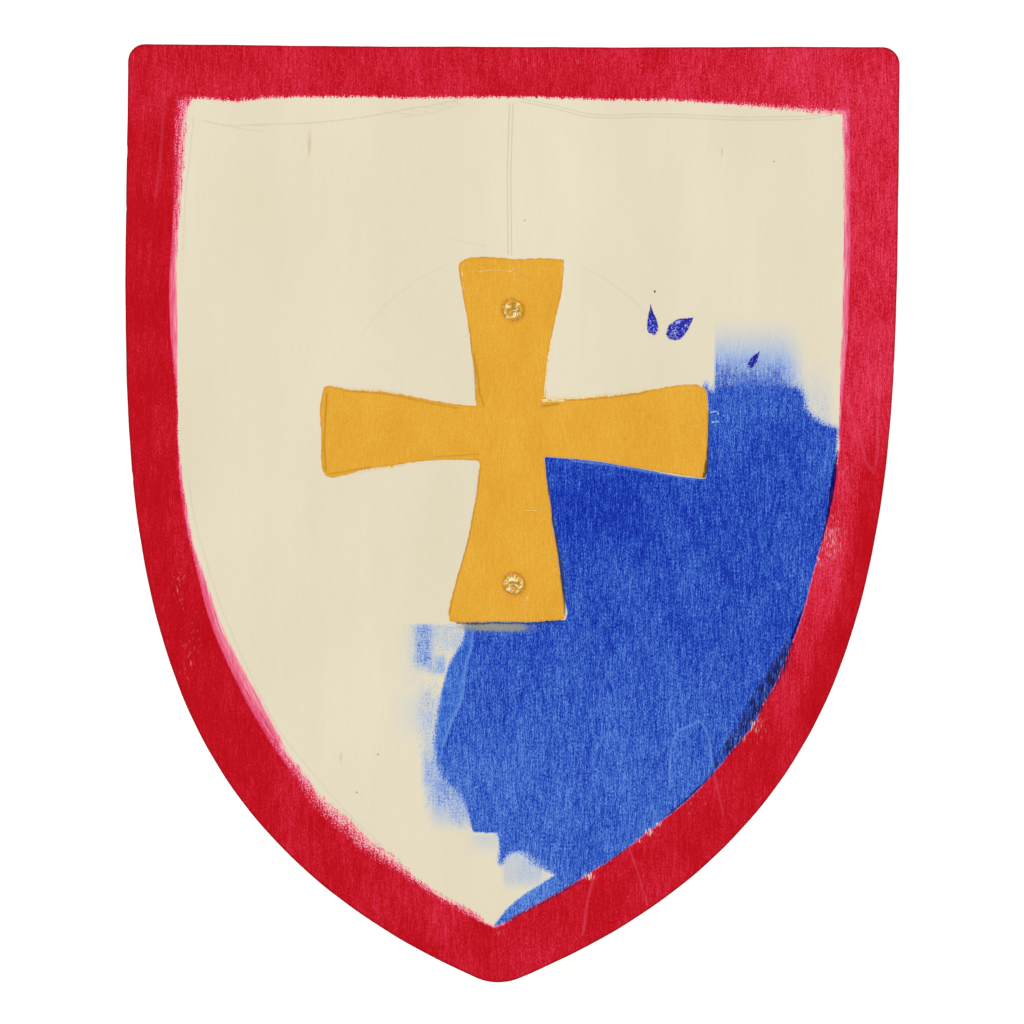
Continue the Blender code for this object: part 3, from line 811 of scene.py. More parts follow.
def make_handle(material):
    size = (HANDLE_HIGH - HANDLE_LOW) / MM
    half, spare = size.y / 2, 2 * HANDLE_ROUNDING
    gap = half - FOOT_LENGTH
    outline = rounded_corners([
        ((-half, size.z + spare), 0), ((-half, 0), OUTER_CORNER_RADIUS),
        ((half, 0), OUTER_CORNER_RADIUS), ((half, size.z + spare), 0),
        ((gap, size.z + spare), 0), ((gap, GRIP_THICKNESS), FINGER_CORNER_RADIUS),
        ((-gap, GRIP_THICKNESS), FINGER_CORNER_RADIUS), ((-gap, size.z + spare), 0),
    ])
    middle = (HANDLE_HIGH + HANDLE_LOW) / 2
    cage = bmesh.new()
    left = [cage.verts.new((-size.x / 2 * MM, y * MM, z * MM)) for y, z in outline]
    grown = bmesh.ops.extrude_face_region(cage, geom=[cage.faces.new(left)])
    moved = [item for item in grown["geom"] if isinstance(item, bmesh.types.BMVert)]
    bmesh.ops.translate(cage, verts=moved, vec=(size.x * MM, 0, 0))
    bmesh.ops.recalc_face_normals(cage, faces=cage.faces)
    rims = [edge for edge in cage.edges if abs(edge.verts[0].co.x - edge.verts[1].co.x) < MM]
    bmesh.ops.bevel(cage, geom=rims, offset=HANDLE_ROUNDING * MM, segments=6, profile=0.5, affect="EDGES")
    cut = bmesh.ops.bisect_plane(cage, geom=cage.verts[:] + cage.edges[:] + cage.faces[:],
                                 plane_co=(0, 0, size.z * MM), plane_no=(0, 0, 1), clear_outer=True)
    open_rims = [item for item in cut["geom_cut"] if isinstance(item, bmesh.types.BMEdge)]
    bmesh.ops.holes_fill(cage, edges=open_rims)
    bmesh.ops.translate(cage, verts=cage.verts, vec=(middle.x, middle.y, 0))
    bmesh.ops.recalc_face_normals(cage, faces=cage.faces)
    mesh = bpy.data.meshes.new("pine_grip")
    cage.to_mesh(mesh)
    cage.free()
    mesh.shade_smooth()
    mesh.set_sharp_from_angle(angle=SHARP_EDGE)
    mesh.materials.append(material)
    return show(mesh, "pine_grip")


# Geometry trees for paint that stands proud


def new_tree(name, sizes):
    """A tree with a geometry socket each way and named float inputs. Returns it and its inputs."""
    tree = bpy.data.node_groups.new(name, "GeometryNodeTree")
    tree.interface.new_socket("Geometry", in_out="INPUT", socket_type="NodeSocketGeometry")
    for size in sizes:
        tree.interface.new_socket(size, in_out="INPUT", socket_type="NodeSocketFloat")
    tree.interface.new_socket("Paint", in_out="INPUT", socket_type="NodeSocketMaterial")
    tree.interface.new_socket("Geometry", in_out="OUTPUT", socket_type="NodeSocketGeometry")
    given = tree.nodes.new("NodeGroupInput")
    return tree, {socket.name: socket for socket in given.outputs if socket.name}


def end_tree(tree, given, geometry):
    """The finish of every tree: smooth, with no instances left, and in its paint."""
    geometry = add(tree, "GeometryNodeSetShadeSmooth", {"Geometry": geometry})
    geometry = add(tree, "GeometryNodeRealizeInstances", (geometry,))
    geometry = add(tree, "GeometryNodeSetMaterial", {"Geometry": geometry, "Material": given["Paint"]})
    add(tree, "NodeGroupOutput", (geometry,))
    return tree


def grow(tree, mesh, name, **values):
    """Runs a tree on a mesh with its inputs set, and returns the result as a plain mesh."""
    piece = show(mesh, name)
    modifier = piece.modifiers.new(tree.name, "NODES")
    modifier.node_group = tree
    for socket in tree.interface.items_tree:
        key = socket.name.replace(" ", "_").lower()
        if socket.in_out == "INPUT" and key in values:
            modifier[socket.identifier] = values[key]
    graph = bpy.context.evaluated_depsgraph_get()
    result = bpy.data.meshes.new_from_object(piece.evaluated_get(graph))
    bpy.data.objects.remove(piece)
    result.name = name
    return result


def drop_tree():
    """A drop of thick paint that has skinned over: a ball pulled to a point, flat underneath, with a
    wrinkled top. Width, Length, Height and Wrinkle are in metres."""
    sizes = ["Width", "Length", "Height", "Point", "Fullness", "Wrinkle", "Seed"]
    tree, given = new_tree("paint_drop", sizes)
    ball = add(tree, "GeometryNodeMeshIcoSphere", {"Radius": 1.0, "Subdivisions": 6})
    spot = add(tree, "GeometryNodeInputPosition")
    parts = add(tree, SPLIT, (spot,))
    x, y, z = (parts.node.outputs[axis] for axis in range(3))
    moved = add(tree, VECTOR, (spot, add(tree, JOIN, (given["Seed"], given["Seed"], given["Seed"]))),
                operation="ADD")
    ragged = add(tree, NOISE, {"Vector": moved, "Scale": 1.5, "Detail": 4.0})
    ragged = add(tree, RANGE, (ragged, 0.3, 0.7, 0.84, 1.12))
    high = add(tree, RANGE, (y, -1.0, 1.0, 0.0, 1.0))
    high = add(tree, MATH, (high, given["Fullness"]), operation="POWER")
    pinch = add(tree, MATH, (high, given["Point"]), operation="MULTIPLY")
    narrow = add(tree, MATH, (1.0, pinch), operation="SUBTRACT")
    half_width = add(tree, MATH, (given["Width"], 0.5), operation="MULTIPLY")
    half_length = add(tree, MATH, (given["Length"], 0.5), operation="MULTIPLY")
    wide = x
    for factor in (narrow, half_width, ragged):
        wide = add(tree, MATH, (wide, factor), operation="MULTIPLY")
    long = y
    for factor in (half_length, ragged):
        long = add(tree, MATH, (long, factor), operation="MULTIPLY")
    folds = add(tree, NOISE, {"Vector": moved, "Scale": 2.6, "Detail": 3.0, "Roughness": 0.6,
                              "Distortion": 1.2})
    folds = add(tree, MATH, (folds, 0.5), operation="SUBTRACT")
    folds = add(tree, MATH, (add(tree, MATH, (folds,), operation="ABSOLUTE"), 7.0), operation="MULTIPLY")
    folds = add(tree, MATH, (folds, 1.0), operation="MINIMUM")
    top = add(tree, MATH, (z, 0.0), operation="MAXIMUM")
    plateau = add(tree, MATH, (top, 0.45), operation="POWER")
    body = add(tree, MATH, (plateau, given["Height"]), operation="MULTIPLY")
    body = add(tree, MATH, (body, add(tree, MATH, (narrow, 0.35), operation="MAXIMUM")), operation="MULTIPLY")
    dent = add(tree, MATH, (folds, given["Wrinkle"]), operation="MULTIPLY")
    dent = add(tree, MATH, (dent, plateau), operation="MULTIPLY")
    tall = add(tree, MATH, (body, dent), operation="SUBTRACT")
    place = add(tree, JOIN, (wide, long, tall))
    shaped = add(tree, "GeometryNodeSetPosition", {"Geometry": ball, "Position": place})
    return end_tree(tree, given, shaped)


def ridge_tree():
    """Low beads of paint along given lines, thin at their ends. Width and Height are in metres."""
    tree, given = new_tree("paint_ridge", ["Width", "Height", "Unevenness", "Seed"])
    line = add(tree, "GeometryNodeMeshToCurve", {"Mesh": given["Geometry"]})
    line = add(tree, "GeometryNodeCurveSplineType", {"Curve": line}, spline_type="CATMULL_ROM")
    line = add(tree, "GeometryNodeResampleCurve", {"Curve": line, "Length": 0.35 * MM}, mode="LENGTH")
    along = add(tree, "GeometryNodeSplineParameter")
    ends = add(tree, MATH, (along, math.pi), operation="MULTIPLY")
    ends = add(tree, MATH, (add(tree, MATH, (ends,), operation="SINE"), 0.5), operation="POWER")
    spot = add(tree, "GeometryNodeInputPosition")
    shift = add(tree, JOIN, (given["Seed"], given["Seed"], given["Seed"]))
    uneven = add(tree, NOISE, {"Vector": add(tree, VECTOR, (spot, shift), operation="ADD"), "Scale": 500.0,
                               "Detail": 3.0})
    uneven = add(tree, RANGE, (uneven, 0.3, 0.7, -1.0, 1.0))
    uneven = add(tree, MATH, (uneven, given["Unevenness"], 1.0), operation="MULTIPLY_ADD")
    radius = add(tree, MATH, (ends, uneven), operation="MULTIPLY")
    radius = add(tree, MATH, (radius, 0.12), operation="MAXIMUM")
    line = add(tree, "GeometryNodeSetCurveRadius", {"Curve": line, "Radius": radius})
    ring = add(tree, "GeometryNodeCurvePrimitiveCircle", {"Resolution": 8,
               "Radius": add(tree, MATH, (given["Width"], 0.5), operation="MULTIPLY")})
    bead = add(tree, "GeometryNodeCurveToMesh", {"Curve": line, "Profile Curve": ring, "Fill Caps": True})
    place = add(tree, SPLIT, (add(tree, "GeometryNodeInputPosition"),))
    x, y, z = (place.node.outputs[axis] for axis in range(3))
    flatter = add(tree, MATH, (given["Height"], given["Width"]), operation="DIVIDE")
    flatter = add(tree, MATH, (flatter, 2.0), operation="MULTIPLY")
    low = add(tree, MATH, (z, FACE), operation="SUBTRACT")
    low = add(tree, MATH, (low, flatter, FACE), operation="MULTIPLY_ADD")
    bead = add(tree, "GeometryNodeSetPosition", {"Geometry": bead, "Position": add(tree, JOIN, (x, y, low))})
    return end_tree(tree, given, bead)


def coat_tree():
    """A screw head under thick paint: the driver's cross is nearly filled, and the film is lumpy. It
    works on the parts above the board's face. Sizes are in metres."""
    sizes = ["Crown", "Recess Span", "Recess Width", "Recess Depth", "Lump", "Seed"]
    tree, given = new_tree("painted_head", sizes)
    spot = add(tree, "GeometryNodeInputPosition")
    place = add(tree, SPLIT, (spot,))
    x, y, z = (place.node.outputs[axis] for axis in range(3))
    shift = add(tree, JOIN, (given["Seed"], given["Seed"], given["Seed"]))
    moved = add(tree, VECTOR, (spot, shift), operation="ADD")
    wide_x, wide_y = (add(tree, MATH, (axis,), operation="ABSOLUTE") for axis in (x, y))
    slots = []
    for across, along in ((wide_x, wide_y), (wide_y, wide_x)):
        side = add(tree, MATH, (across, add(tree, MATH, (given["Recess Width"], 0.5), operation="MULTIPLY")),
                   operation="SUBTRACT")
        end = add(tree, MATH, (along, add(tree, MATH, (given["Recess Span"], 0.5), operation="MULTIPLY")),
                  operation="SUBTRACT")
        slots.append(add(tree, MATH, (side, end), operation="MAXIMUM"))
    outside = add(tree, MATH, (*slots, 0.0003), operation="SMOOTH_MIN")
    pressed = add(tree, RANGE, (outside, -0.00035, 0.00035, 1.0, 0.0), interpolation_type="SMOOTHSTEP")
    crown = add(tree, MATH, (given["Crown"], 0.0012), operation="SUBTRACT")
    on_top = add(tree, MATH, (z, crown), operation="GREATER_THAN")
    pressed = add(tree, MATH, (pressed, on_top), operation="MULTIPLY")
    down = add(tree, MATH, (pressed, given["Recess Depth"]), operation="MULTIPLY")
    lumps = add(tree, NOISE, {"Vector": moved, "Scale": 380.0, "Detail": 1.0, "Distortion": 1.6})
    lumps = add(tree, RANGE, (lumps, 0.3, 0.7, -1.0, 1.0))
    lift = add(tree, MATH, (lumps, given["Lump"]), operation="MULTIPLY")
    above = add(tree, MATH, (z, FACE), operation="GREATER_THAN")
    lift = add(tree, MATH, (lift, above), operation="MULTIPLY")
    outward = add(tree, VECTOR, {0: add(tree, "GeometryNodeInputNormal"), "Scale": lift}, operation="SCALE")
    offset = add(tree, VECTOR, (outward, add(tree, JOIN, (0.0, 0.0, down))), operation="SUBTRACT")
    coated = add(tree, "GeometryNodeSetPosition", {"Geometry": given["Geometry"], "Offset": offset})
    coated = add(tree, "GeometryNodeStoreNamedAttribute",
                 {"Geometry": coated, "Name": "recess", "Value": pressed}, data_type="FLOAT", domain="POINT")
    return end_tree(tree, given, coated)


def make_drops(paint):
    """All the drops as one mesh, each one set a little into the board's face."""
    tree = drop_tree()
    cage = bmesh.new()
    for seed, (place, width, length, height, point, full, turn, wrinkle) in enumerate(DROPS):
        mesh = grow(tree, bpy.data.meshes.new("start"), "paint_drop", width=width * MM, length=length * MM,
                    height=height * MM, point=point, fullness=full, wrinkle=wrinkle * MM, seed=seed * 7.3,
                    paint=paint)
        mesh.transform(Matrix.Translation((place[0] * MM, place[1] * MM, FACE - DROP_SINK * MM))
                       @ Matrix.Rotation(math.radians(turn), 4, "Z"))
        cage.from_mesh(mesh)
        bpy.data.meshes.remove(mesh)
    bmesh.ops.dissolve_degenerate(cage, edges=cage.edges, dist=0.001 * MM)
    joined = bpy.data.meshes.new("blue_paint_drops")
    cage.to_mesh(joined)
    cage.free()
    joined.materials.append(paint)
    joined.shade_smooth()
    return show(joined, "blue_paint_drops")


def make_ridges(tree, name, lines, paint, seed):
    """Ridges of paint along lines on the board's face, as one piece."""
    points, edges = [], []
    for line in lines:
        first = len(points)
        points += [(x * MM, y * MM, FACE) for x, y in line]
        edges += [(first + step, first + step + 1) for step in range(len(line) - 1)]
    mesh = bpy.data.meshes.new(name)
    mesh.from_pydata(points, edges, [])
    beads = grow(tree, mesh, name, width=RIDGE_WIDTH * MM, height=RIDGE_HEIGHT * MM,
                 unevenness=RIDGE_UNEVENNESS, seed=seed, paint=paint)
    return show(beads, name)


def turned_head(radius, seat, crown):
    """The head's profile turned into rings, with a fillet of paint where it meets the board, and the
    shank below it."""
    rise = crown - seat
    turns = np.linspace(0, math.pi / 2, 18)
    profile = [(radius * math.sin(turn) ** HEAD_ROUNDNESS, seat + rise * math.cos(turn) ** HEAD_ROUNDNESS)
               for turn in turns[1:]]
    under = FACE / MM - 0.05
    fillet = [(radius + 0.05, seat - 0.1), (radius + 0.2, FACE / MM + 0.02), (radius + 0.3, under)]
    return profile + fillet + [(SHANK_RADIUS, under)]


def make_screw(tree, name, material, seed):
    """A screw as rings about its axis, with its head finely divided for the coat."""
    low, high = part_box(name)
    middle = (low + high) / 2
    radius = (high.x - low.x) / 2 / MM - HEAD_INSET
    crown = high.z / MM - CROWN_INSET
    profile = turned_head(radius, FACE / MM + HEAD_SEAT, crown)
    profile += [(SHANK_RADIUS, low.z / MM + SHANK_POINT)]
    inner = [(profile[0][0] * share, crown) for share in np.linspace(0.08, 0.92, 12)]
    steps = 64
    turns = np.linspace(0, 2 * math.pi, steps, endpoint=False)
    cage = bmesh.new()
    top = cage.verts.new((0, 0, high.z - CROWN_INSET * MM))
    tip = cage.verts.new((0, 0, low.z))
    rings = [[cage.verts.new((reach * MM * math.cos(turn), reach * MM * math.sin(turn), height * MM))
              for turn in turns] for reach, height in inner + profile]
    for at in range(steps):
        following = (at + 1) % steps
        cage.faces.new((top, rings[0][at], rings[0][following]))
        cage.faces.new((tip, rings[-1][following], rings[-1][at]))
        for upper, lower in zip(rings, rings[1:]):
            cage.faces.new((upper[at], lower[at], lower[following], upper[following]))
    mesh = bpy.data.meshes.new(name)
    cage.to_mesh(mesh)
    cage.free()
    coated = grow(tree, mesh, "painted_" + name, crown=high.z, recess_span=RECESS_SPAN * MM,
                  recess_width=RECESS_WIDTH * MM, recess_depth=RECESS_DEPTH * MM, lump=COAT_LUMP * MM,
                  seed=seed, paint=material)
    coated.transform(Matrix.Translation((middle.x, middle.y, 0)))
    return show(coated, "painted_" + name)


# Materials


def weigh(tree, total, *parts):
    """A sum of marks: each part is a mark and how much of it goes on top of the total."""
    for mark, share in parts:
        total = add(tree, MATH, (mark, share, total), operation="MULTIPLY_ADD")
    return total


def blend(tree, amount, below, above):
    """One colour over another by an amount. A colour is a hex code or a link."""
    codes = [colour(one) if isinstance(one, str) else one for one in (below, above)]
    return add(tree, MIX, {0: amount, 6: codes[0], 7: codes[1]}, out=2, data_type="RGBA")


def bare_birch(tree, place):
    """The colour of rotary-cut birch: an even cream, with faint broad growth bands and fine upright
    fibres."""
    bands = grain(tree, place, 44, 110, detail=2.0, seed=3.1, spread=0.25)
    fibres = grain(tree, place, 0.6, 6, detail=2.0, seed=8.2, spread=0.25)
    streaks = grain(tree, place, 6, 70, detail=2.0, seed=5.5, spread=0.25)
    tone = weigh(tree, 0.10, (bands, 0.55), (fibres, 0.16), (streaks, 0.11))
    return add(tree, RAMP, (tone,), stops=[(0.0, "#E0D5B6"), (1.0, "#EDE4C9"), (0.5, "#E7DCC0")])


def specks(tree, place, below, spots, code, strength):
    """Small marks at stated places."""
    parts = add(tree, SPLIT, (place,))
    flat = add(tree, JOIN, (parts, parts.node.outputs[1], 0.0))
    for (x, y), across, along in spots:
        away = add(tree, VECTOR, (flat, (x, y, 0.0)), operation="SUBTRACT")
        away = add(tree, VECTOR, (away, (1 / across, 1 / along, 0.0)), operation="MULTIPLY")
        away = add(tree, VECTOR, (away,), out=1, operation="LENGTH")
        mark = add(tree, RANGE, (away, 0.3, 1.4, strength, 0.0), interpolation_type="SMOOTHSTEP")
        below = blend(tree, mark, below, code)
    return below


def drawn_line(tree, layer, wobble):
    """A mask for the fine lines: one or two strokes that wander a little, as dark as the layer says."""
    off = add(tree, MATH, (wobble, 0.5, layer["line"]), operation="MULTIPLY_ADD")
    off = add(tree, MATH, (off, 0.25), operation="SUBTRACT")
    off = add(tree, MATH, (off,), operation="ABSOLUTE")
    off = add(tree, MATH, (off, layer["line_split"]), operation="SUBTRACT")
    off = add(tree, MATH, (off,), operation="ABSOLUTE")
    off = add(tree, MATH, (off, layer["line_width"]), operation="DIVIDE")
    mark = add(tree, RANGE, (off, 0.4, 1.7, 1.0, 0.0), interpolation_type="SMOOTHSTEP")
    return add(tree, MATH, (mark, layer["line_dark"]), operation="MULTIPLY")


def lanes(tree, place, distance):
    """Streaks that run along the border's inner edge, as the brush did."""
    along = add(tree, SPLIT, (place,), out=1)
    along = add(tree, MATH, (along, 1 / 13), operation="MULTIPLY")
    across = add(tree, MATH, (distance, 1 / 0.5), operation="MULTIPLY")
    streaks = add(tree, NOISE, {"Vector": add(tree, JOIN, (across, along, 0.0)), "Scale": 1.0, "Detail": 2.0})
    return add(tree, RANGE, (streaks, 0.3, 0.7), clamp=False)


def painted_plywood():
    """Thin artist's acrylic brushed on bare birch: the fibres show through it as short light and dark
    threads, it goes pink or pale where the brush ran dry, and pencil shows beside it. A real fibre is
    too fine to show, so the threads are drawn half a millimetre wide."""
    material, tree, shader = new_material("acrylic_on_birch_plywood", Specular_IOR_Level=0.06)
    place = place_in_mm(tree)
    nowhere = np.zeros(1)
    names = paint_layout(nowhere, nowhere, [(0, 0), (1, 0), (0, 1)])
    layer = {name: add(tree, STORED, out=2, attribute_name=name) for name in names}
    marks = {
        "dash": grain(tree, place, 0.30, 0.85, detail=0.0, seed=1.3, spread=0.15),
        "hair": grain(tree, place, 0.34, 5.0, detail=1.0, seed=7.7, rough=0.6, spread=0.16),
        "bristle": grain(tree, place, 0.7, 5.0, detail=2.0, seed=2.9, rough=0.6, spread=0.18),
        "grit": grain(tree, place, 0.36, 0.6, detail=0.0, seed=4.4, spread=0.15),
        "fleck": grain(tree, place, 0.36, 2.2, detail=1.0, seed=3.6, spread=0.2),
        "weft": grain(tree, place, 4.5, 0.5, detail=1.0, seed=2.2, spread=0.18),
        "streak": grain(tree, place, 1.8, 17, detail=2.0, seed=8.8, spread=0.22),
        "blotch": grain(tree, place, 15, 26, detail=3.0, seed=6.1, spread=0.22),
        "hand": grain(tree, place, 14, 14, detail=2.0, seed=9.4),
        "shake": grain(tree, place, 2.4, 2.4, detail=2.0, seed=5.2, spread=0.2),
    }
    marks["line"] = drawn_line(tree, layer, marks["hand"])
    marks["lane"] = lanes(tree, place, layer["red"])
    worn = add(tree, RANGE, (marks["grit"], 0.0, 1.0, 0.55, 1.0))
    pencil = add(tree, MATH, (marks["line"], worn), operation="MULTIPLY")
    base = blend(tree, pencil, bare_birch(tree, place), "#8E8878")
    base = specks(tree, place, base, FLECKS[3:], "#5A4632", 0.65)
    base = specks(tree, place, base, FLECKS[1:3], "#C8B48C", 0.45)
    base = specks(tree, place, base, FLECKS[:1], "#CFA764", 0.42)

    base, ochre_cover = ochre_over(tree, place, layer, marks, base)
    base = blue_over(tree, layer, marks, base)
    base, red_cover = red_over(tree, layer, marks, base)
    base = strokes_over(tree, layer, marks, base)
    tree.links.new(base, shader.inputs["Base Color"])

    rough = weigh(tree, 0.62, (ochre_cover, -0.14), (red_cover, -0.08), (marks["dash"], 0.06))
    tree.links.new(rough, shader.inputs["Roughness"])
    relief = add(tree, MATH, (marks["hair"], 0.7, marks["dash"]), operation="MULTIPLY_ADD")
    bump = add(tree, "ShaderNodeBump", {"Strength": 0.25, "Distance": 0.00008, "Height": relief})
    tree.links.new(bump, shader.inputs["Normal"])
    return material


def ochre_over(tree, place, layer, marks, below):
    """The cross: a warm yellow that covers well. Hairs of paint stick out past the arms' long edges,
    and there is brown pencil just inside."""
    rag = add(tree, MATH, (layer["ochre_rag"], 0.55, 0.14), operation="MULTIPLY_ADD")
    hairy = add(tree, MATH, (marks["bristle"], 0.55), operation="SUBTRACT")
    edge = add(tree, MATH, (hairy, rag, layer["ochre"]), operation="MULTIPLY_ADD")
    edge = add(tree, MATH, (add(tree, MATH, (marks["shake"], 0.5), operation="SUBTRACT"), 0.28, edge),
               operation="MULTIPLY_ADD")
    cover = add(tree, RANGE, (edge, -0.22, 0.22), interpolation_type="SMOOTHSTEP")
    stain = add(tree, RANGE, (edge, -1.6, 0.2, 0.0, 0.55), interpolation_type="SMOOTHSTEP")
    stain = add(tree, MATH, (stain, layer["ochre_rag"]), operation="MULTIPLY")
    below = blend(tree, stain, below, "#E2B765")
    tone = weigh(tree, 0.06, (marks["dash"], 0.28), (marks["hair"], 0.30), (marks["blotch"], 0.28))
    paint = add(tree, RAMP, (tone,), stops=[(0.0, "#DA9C28"), (1.0, "#EFB748"), (0.5, "#E5A835")])
    brown = add(tree, RANGE, (marks["grit"], 0.0, 1.0, 0.55, 0.85))
    brown = add(tree, MATH, (marks["line"], brown), operation="MULTIPLY")
    paint = blend(tree, brown, paint, "#8E5F14")
    wet = add(tree, RANGE, (edge, 0.15, 0.95, 0.6, 0.0), interpolation_type="SMOOTHSTEP")
    wet = add(tree, MATH, (wet, add(tree, RANGE, (marks["shake"], 0.3, 0.7, 0.4, 1.0))), operation="MULTIPLY")
    paint = blend(tree, wet, paint, "#CC8218")
    spots = [(spot, radius, radius) for spot, radius in OCHRE_SPOTS]
    paint = specks(tree, place, paint, spots, "#E0961A", 0.6)
    return blend(tree, cover, below, paint), cover


def blue_over(tree, layer, marks, below):
    """The blue: solid inside its outline, then grains and threads, then a haze that only dyes the wood.
    Where it is thin it turns to the blue of the sky."""
    edge = add(tree, MATH, (layer["blue"], layer["blue_soft"]), operation="DIVIDE")
    edge = weigh(tree, edge, (marks["grit"], 0.6), (marks["bristle"], 0.5))
    solid = add(tree, RANGE, (edge, -0.45, 1.55), interpolation_type="SMOOTHSTEP")
    threads = weigh(tree, layer["blue_dry"], (marks["bristle"], 0.26), (marks["weft"], 0.22),
                    (marks["grit"], 0.40), (marks["hair"], 0.14))
    threads = add(tree, RANGE, (threads, 0.66, 1.50))
    present = add(tree, RANGE, (layer["blue_dry"], 0.02, 0.2))
    threads = add(tree, MATH, (threads, present), operation="MULTIPLY")
    soft = weigh(tree, 0.70, (marks["hair"], 0.26), (marks["dash"], 0.14))
    soft = add(tree, MATH, (layer["blue_haze"], soft), operation="MULTIPLY")
    thin = add(tree, MATH, (threads, 0.56, soft), operation="MULTIPLY_ADD")
    amount = add(tree, MATH, (solid, thin, 0.25), operation="SMOOTH_MAX")
    clear = add(tree, MATH, (marks["shake"], 0.3, layer["ochre"]), operation="MULTIPLY_ADD")
    clear = add(tree, MATH, (clear, layer["blue_gap"]), operation="ADD")
    clear = add(tree, RANGE, (clear, -0.1, 0.5, 1.0, 0.0), interpolation_type="SMOOTHSTEP")
    amount = add(tree, MATH, (amount, clear), operation="MULTIPLY")
    cover = add(tree, RANGE, (amount, 0.03, 1.0))

    tone = weigh(tree, layer["blue_tone"], (marks["dash"], 0.40), (marks["hair"], 0.42),
                 (marks["streak"], 0.16), (marks["blotch"], 0.18))
    strip = add(tree, RANGE, (layer["blue_strip"], -0.3, 0.6), interpolation_type="SMOOTHSTEP")
    tone = add(tree, MATH, (strip, 0.12, tone), operation="MULTIPLY_ADD")
    tone = add(tree, MATH, (tone, 0.60), operation="SUBTRACT")
    paint = add(tree, RAMP, (tone,), stops=[(0.0, "#0A24A0"), (1.0, "#6E98E2"), (0.30, "#2046B8"),
                                            (0.62, "#4270CC")])
    paint = blend(tree, add(tree, MATH, (strip, 0.18), operation="MULTIPLY"), paint, "#4A86DA")
    thin_paint = add(tree, RAMP, (amount,), stops=[(0.0, "#6CB2F6"), (1.0, "#2F62CC"), (0.72, "#4C96EC")])
    whole = add(tree, RANGE, (amount, 0.62, 1.0))
    paint = blend(tree, whole, thin_paint, paint)
    veins = add(tree, MATH, (marks["line"], 0.6), operation="MULTIPLY")
    paint = blend(tree, veins, paint, "#78A6E2")
    below = blend(tree, cover, below, paint)
    smear = weigh(tree, layer["smear"], (marks["hand"], 1.4), (marks["grit"], 0.3))
    smear = add(tree, RANGE, (smear, 0.95, 1.5, 0.0, 0.85))
    smear = add(tree, MATH, (smear, add(tree, RANGE, (layer["smear"], 0.05, 0.35))), operation="MULTIPLY")
    return blend(tree, smear, below, "#9A9C84")


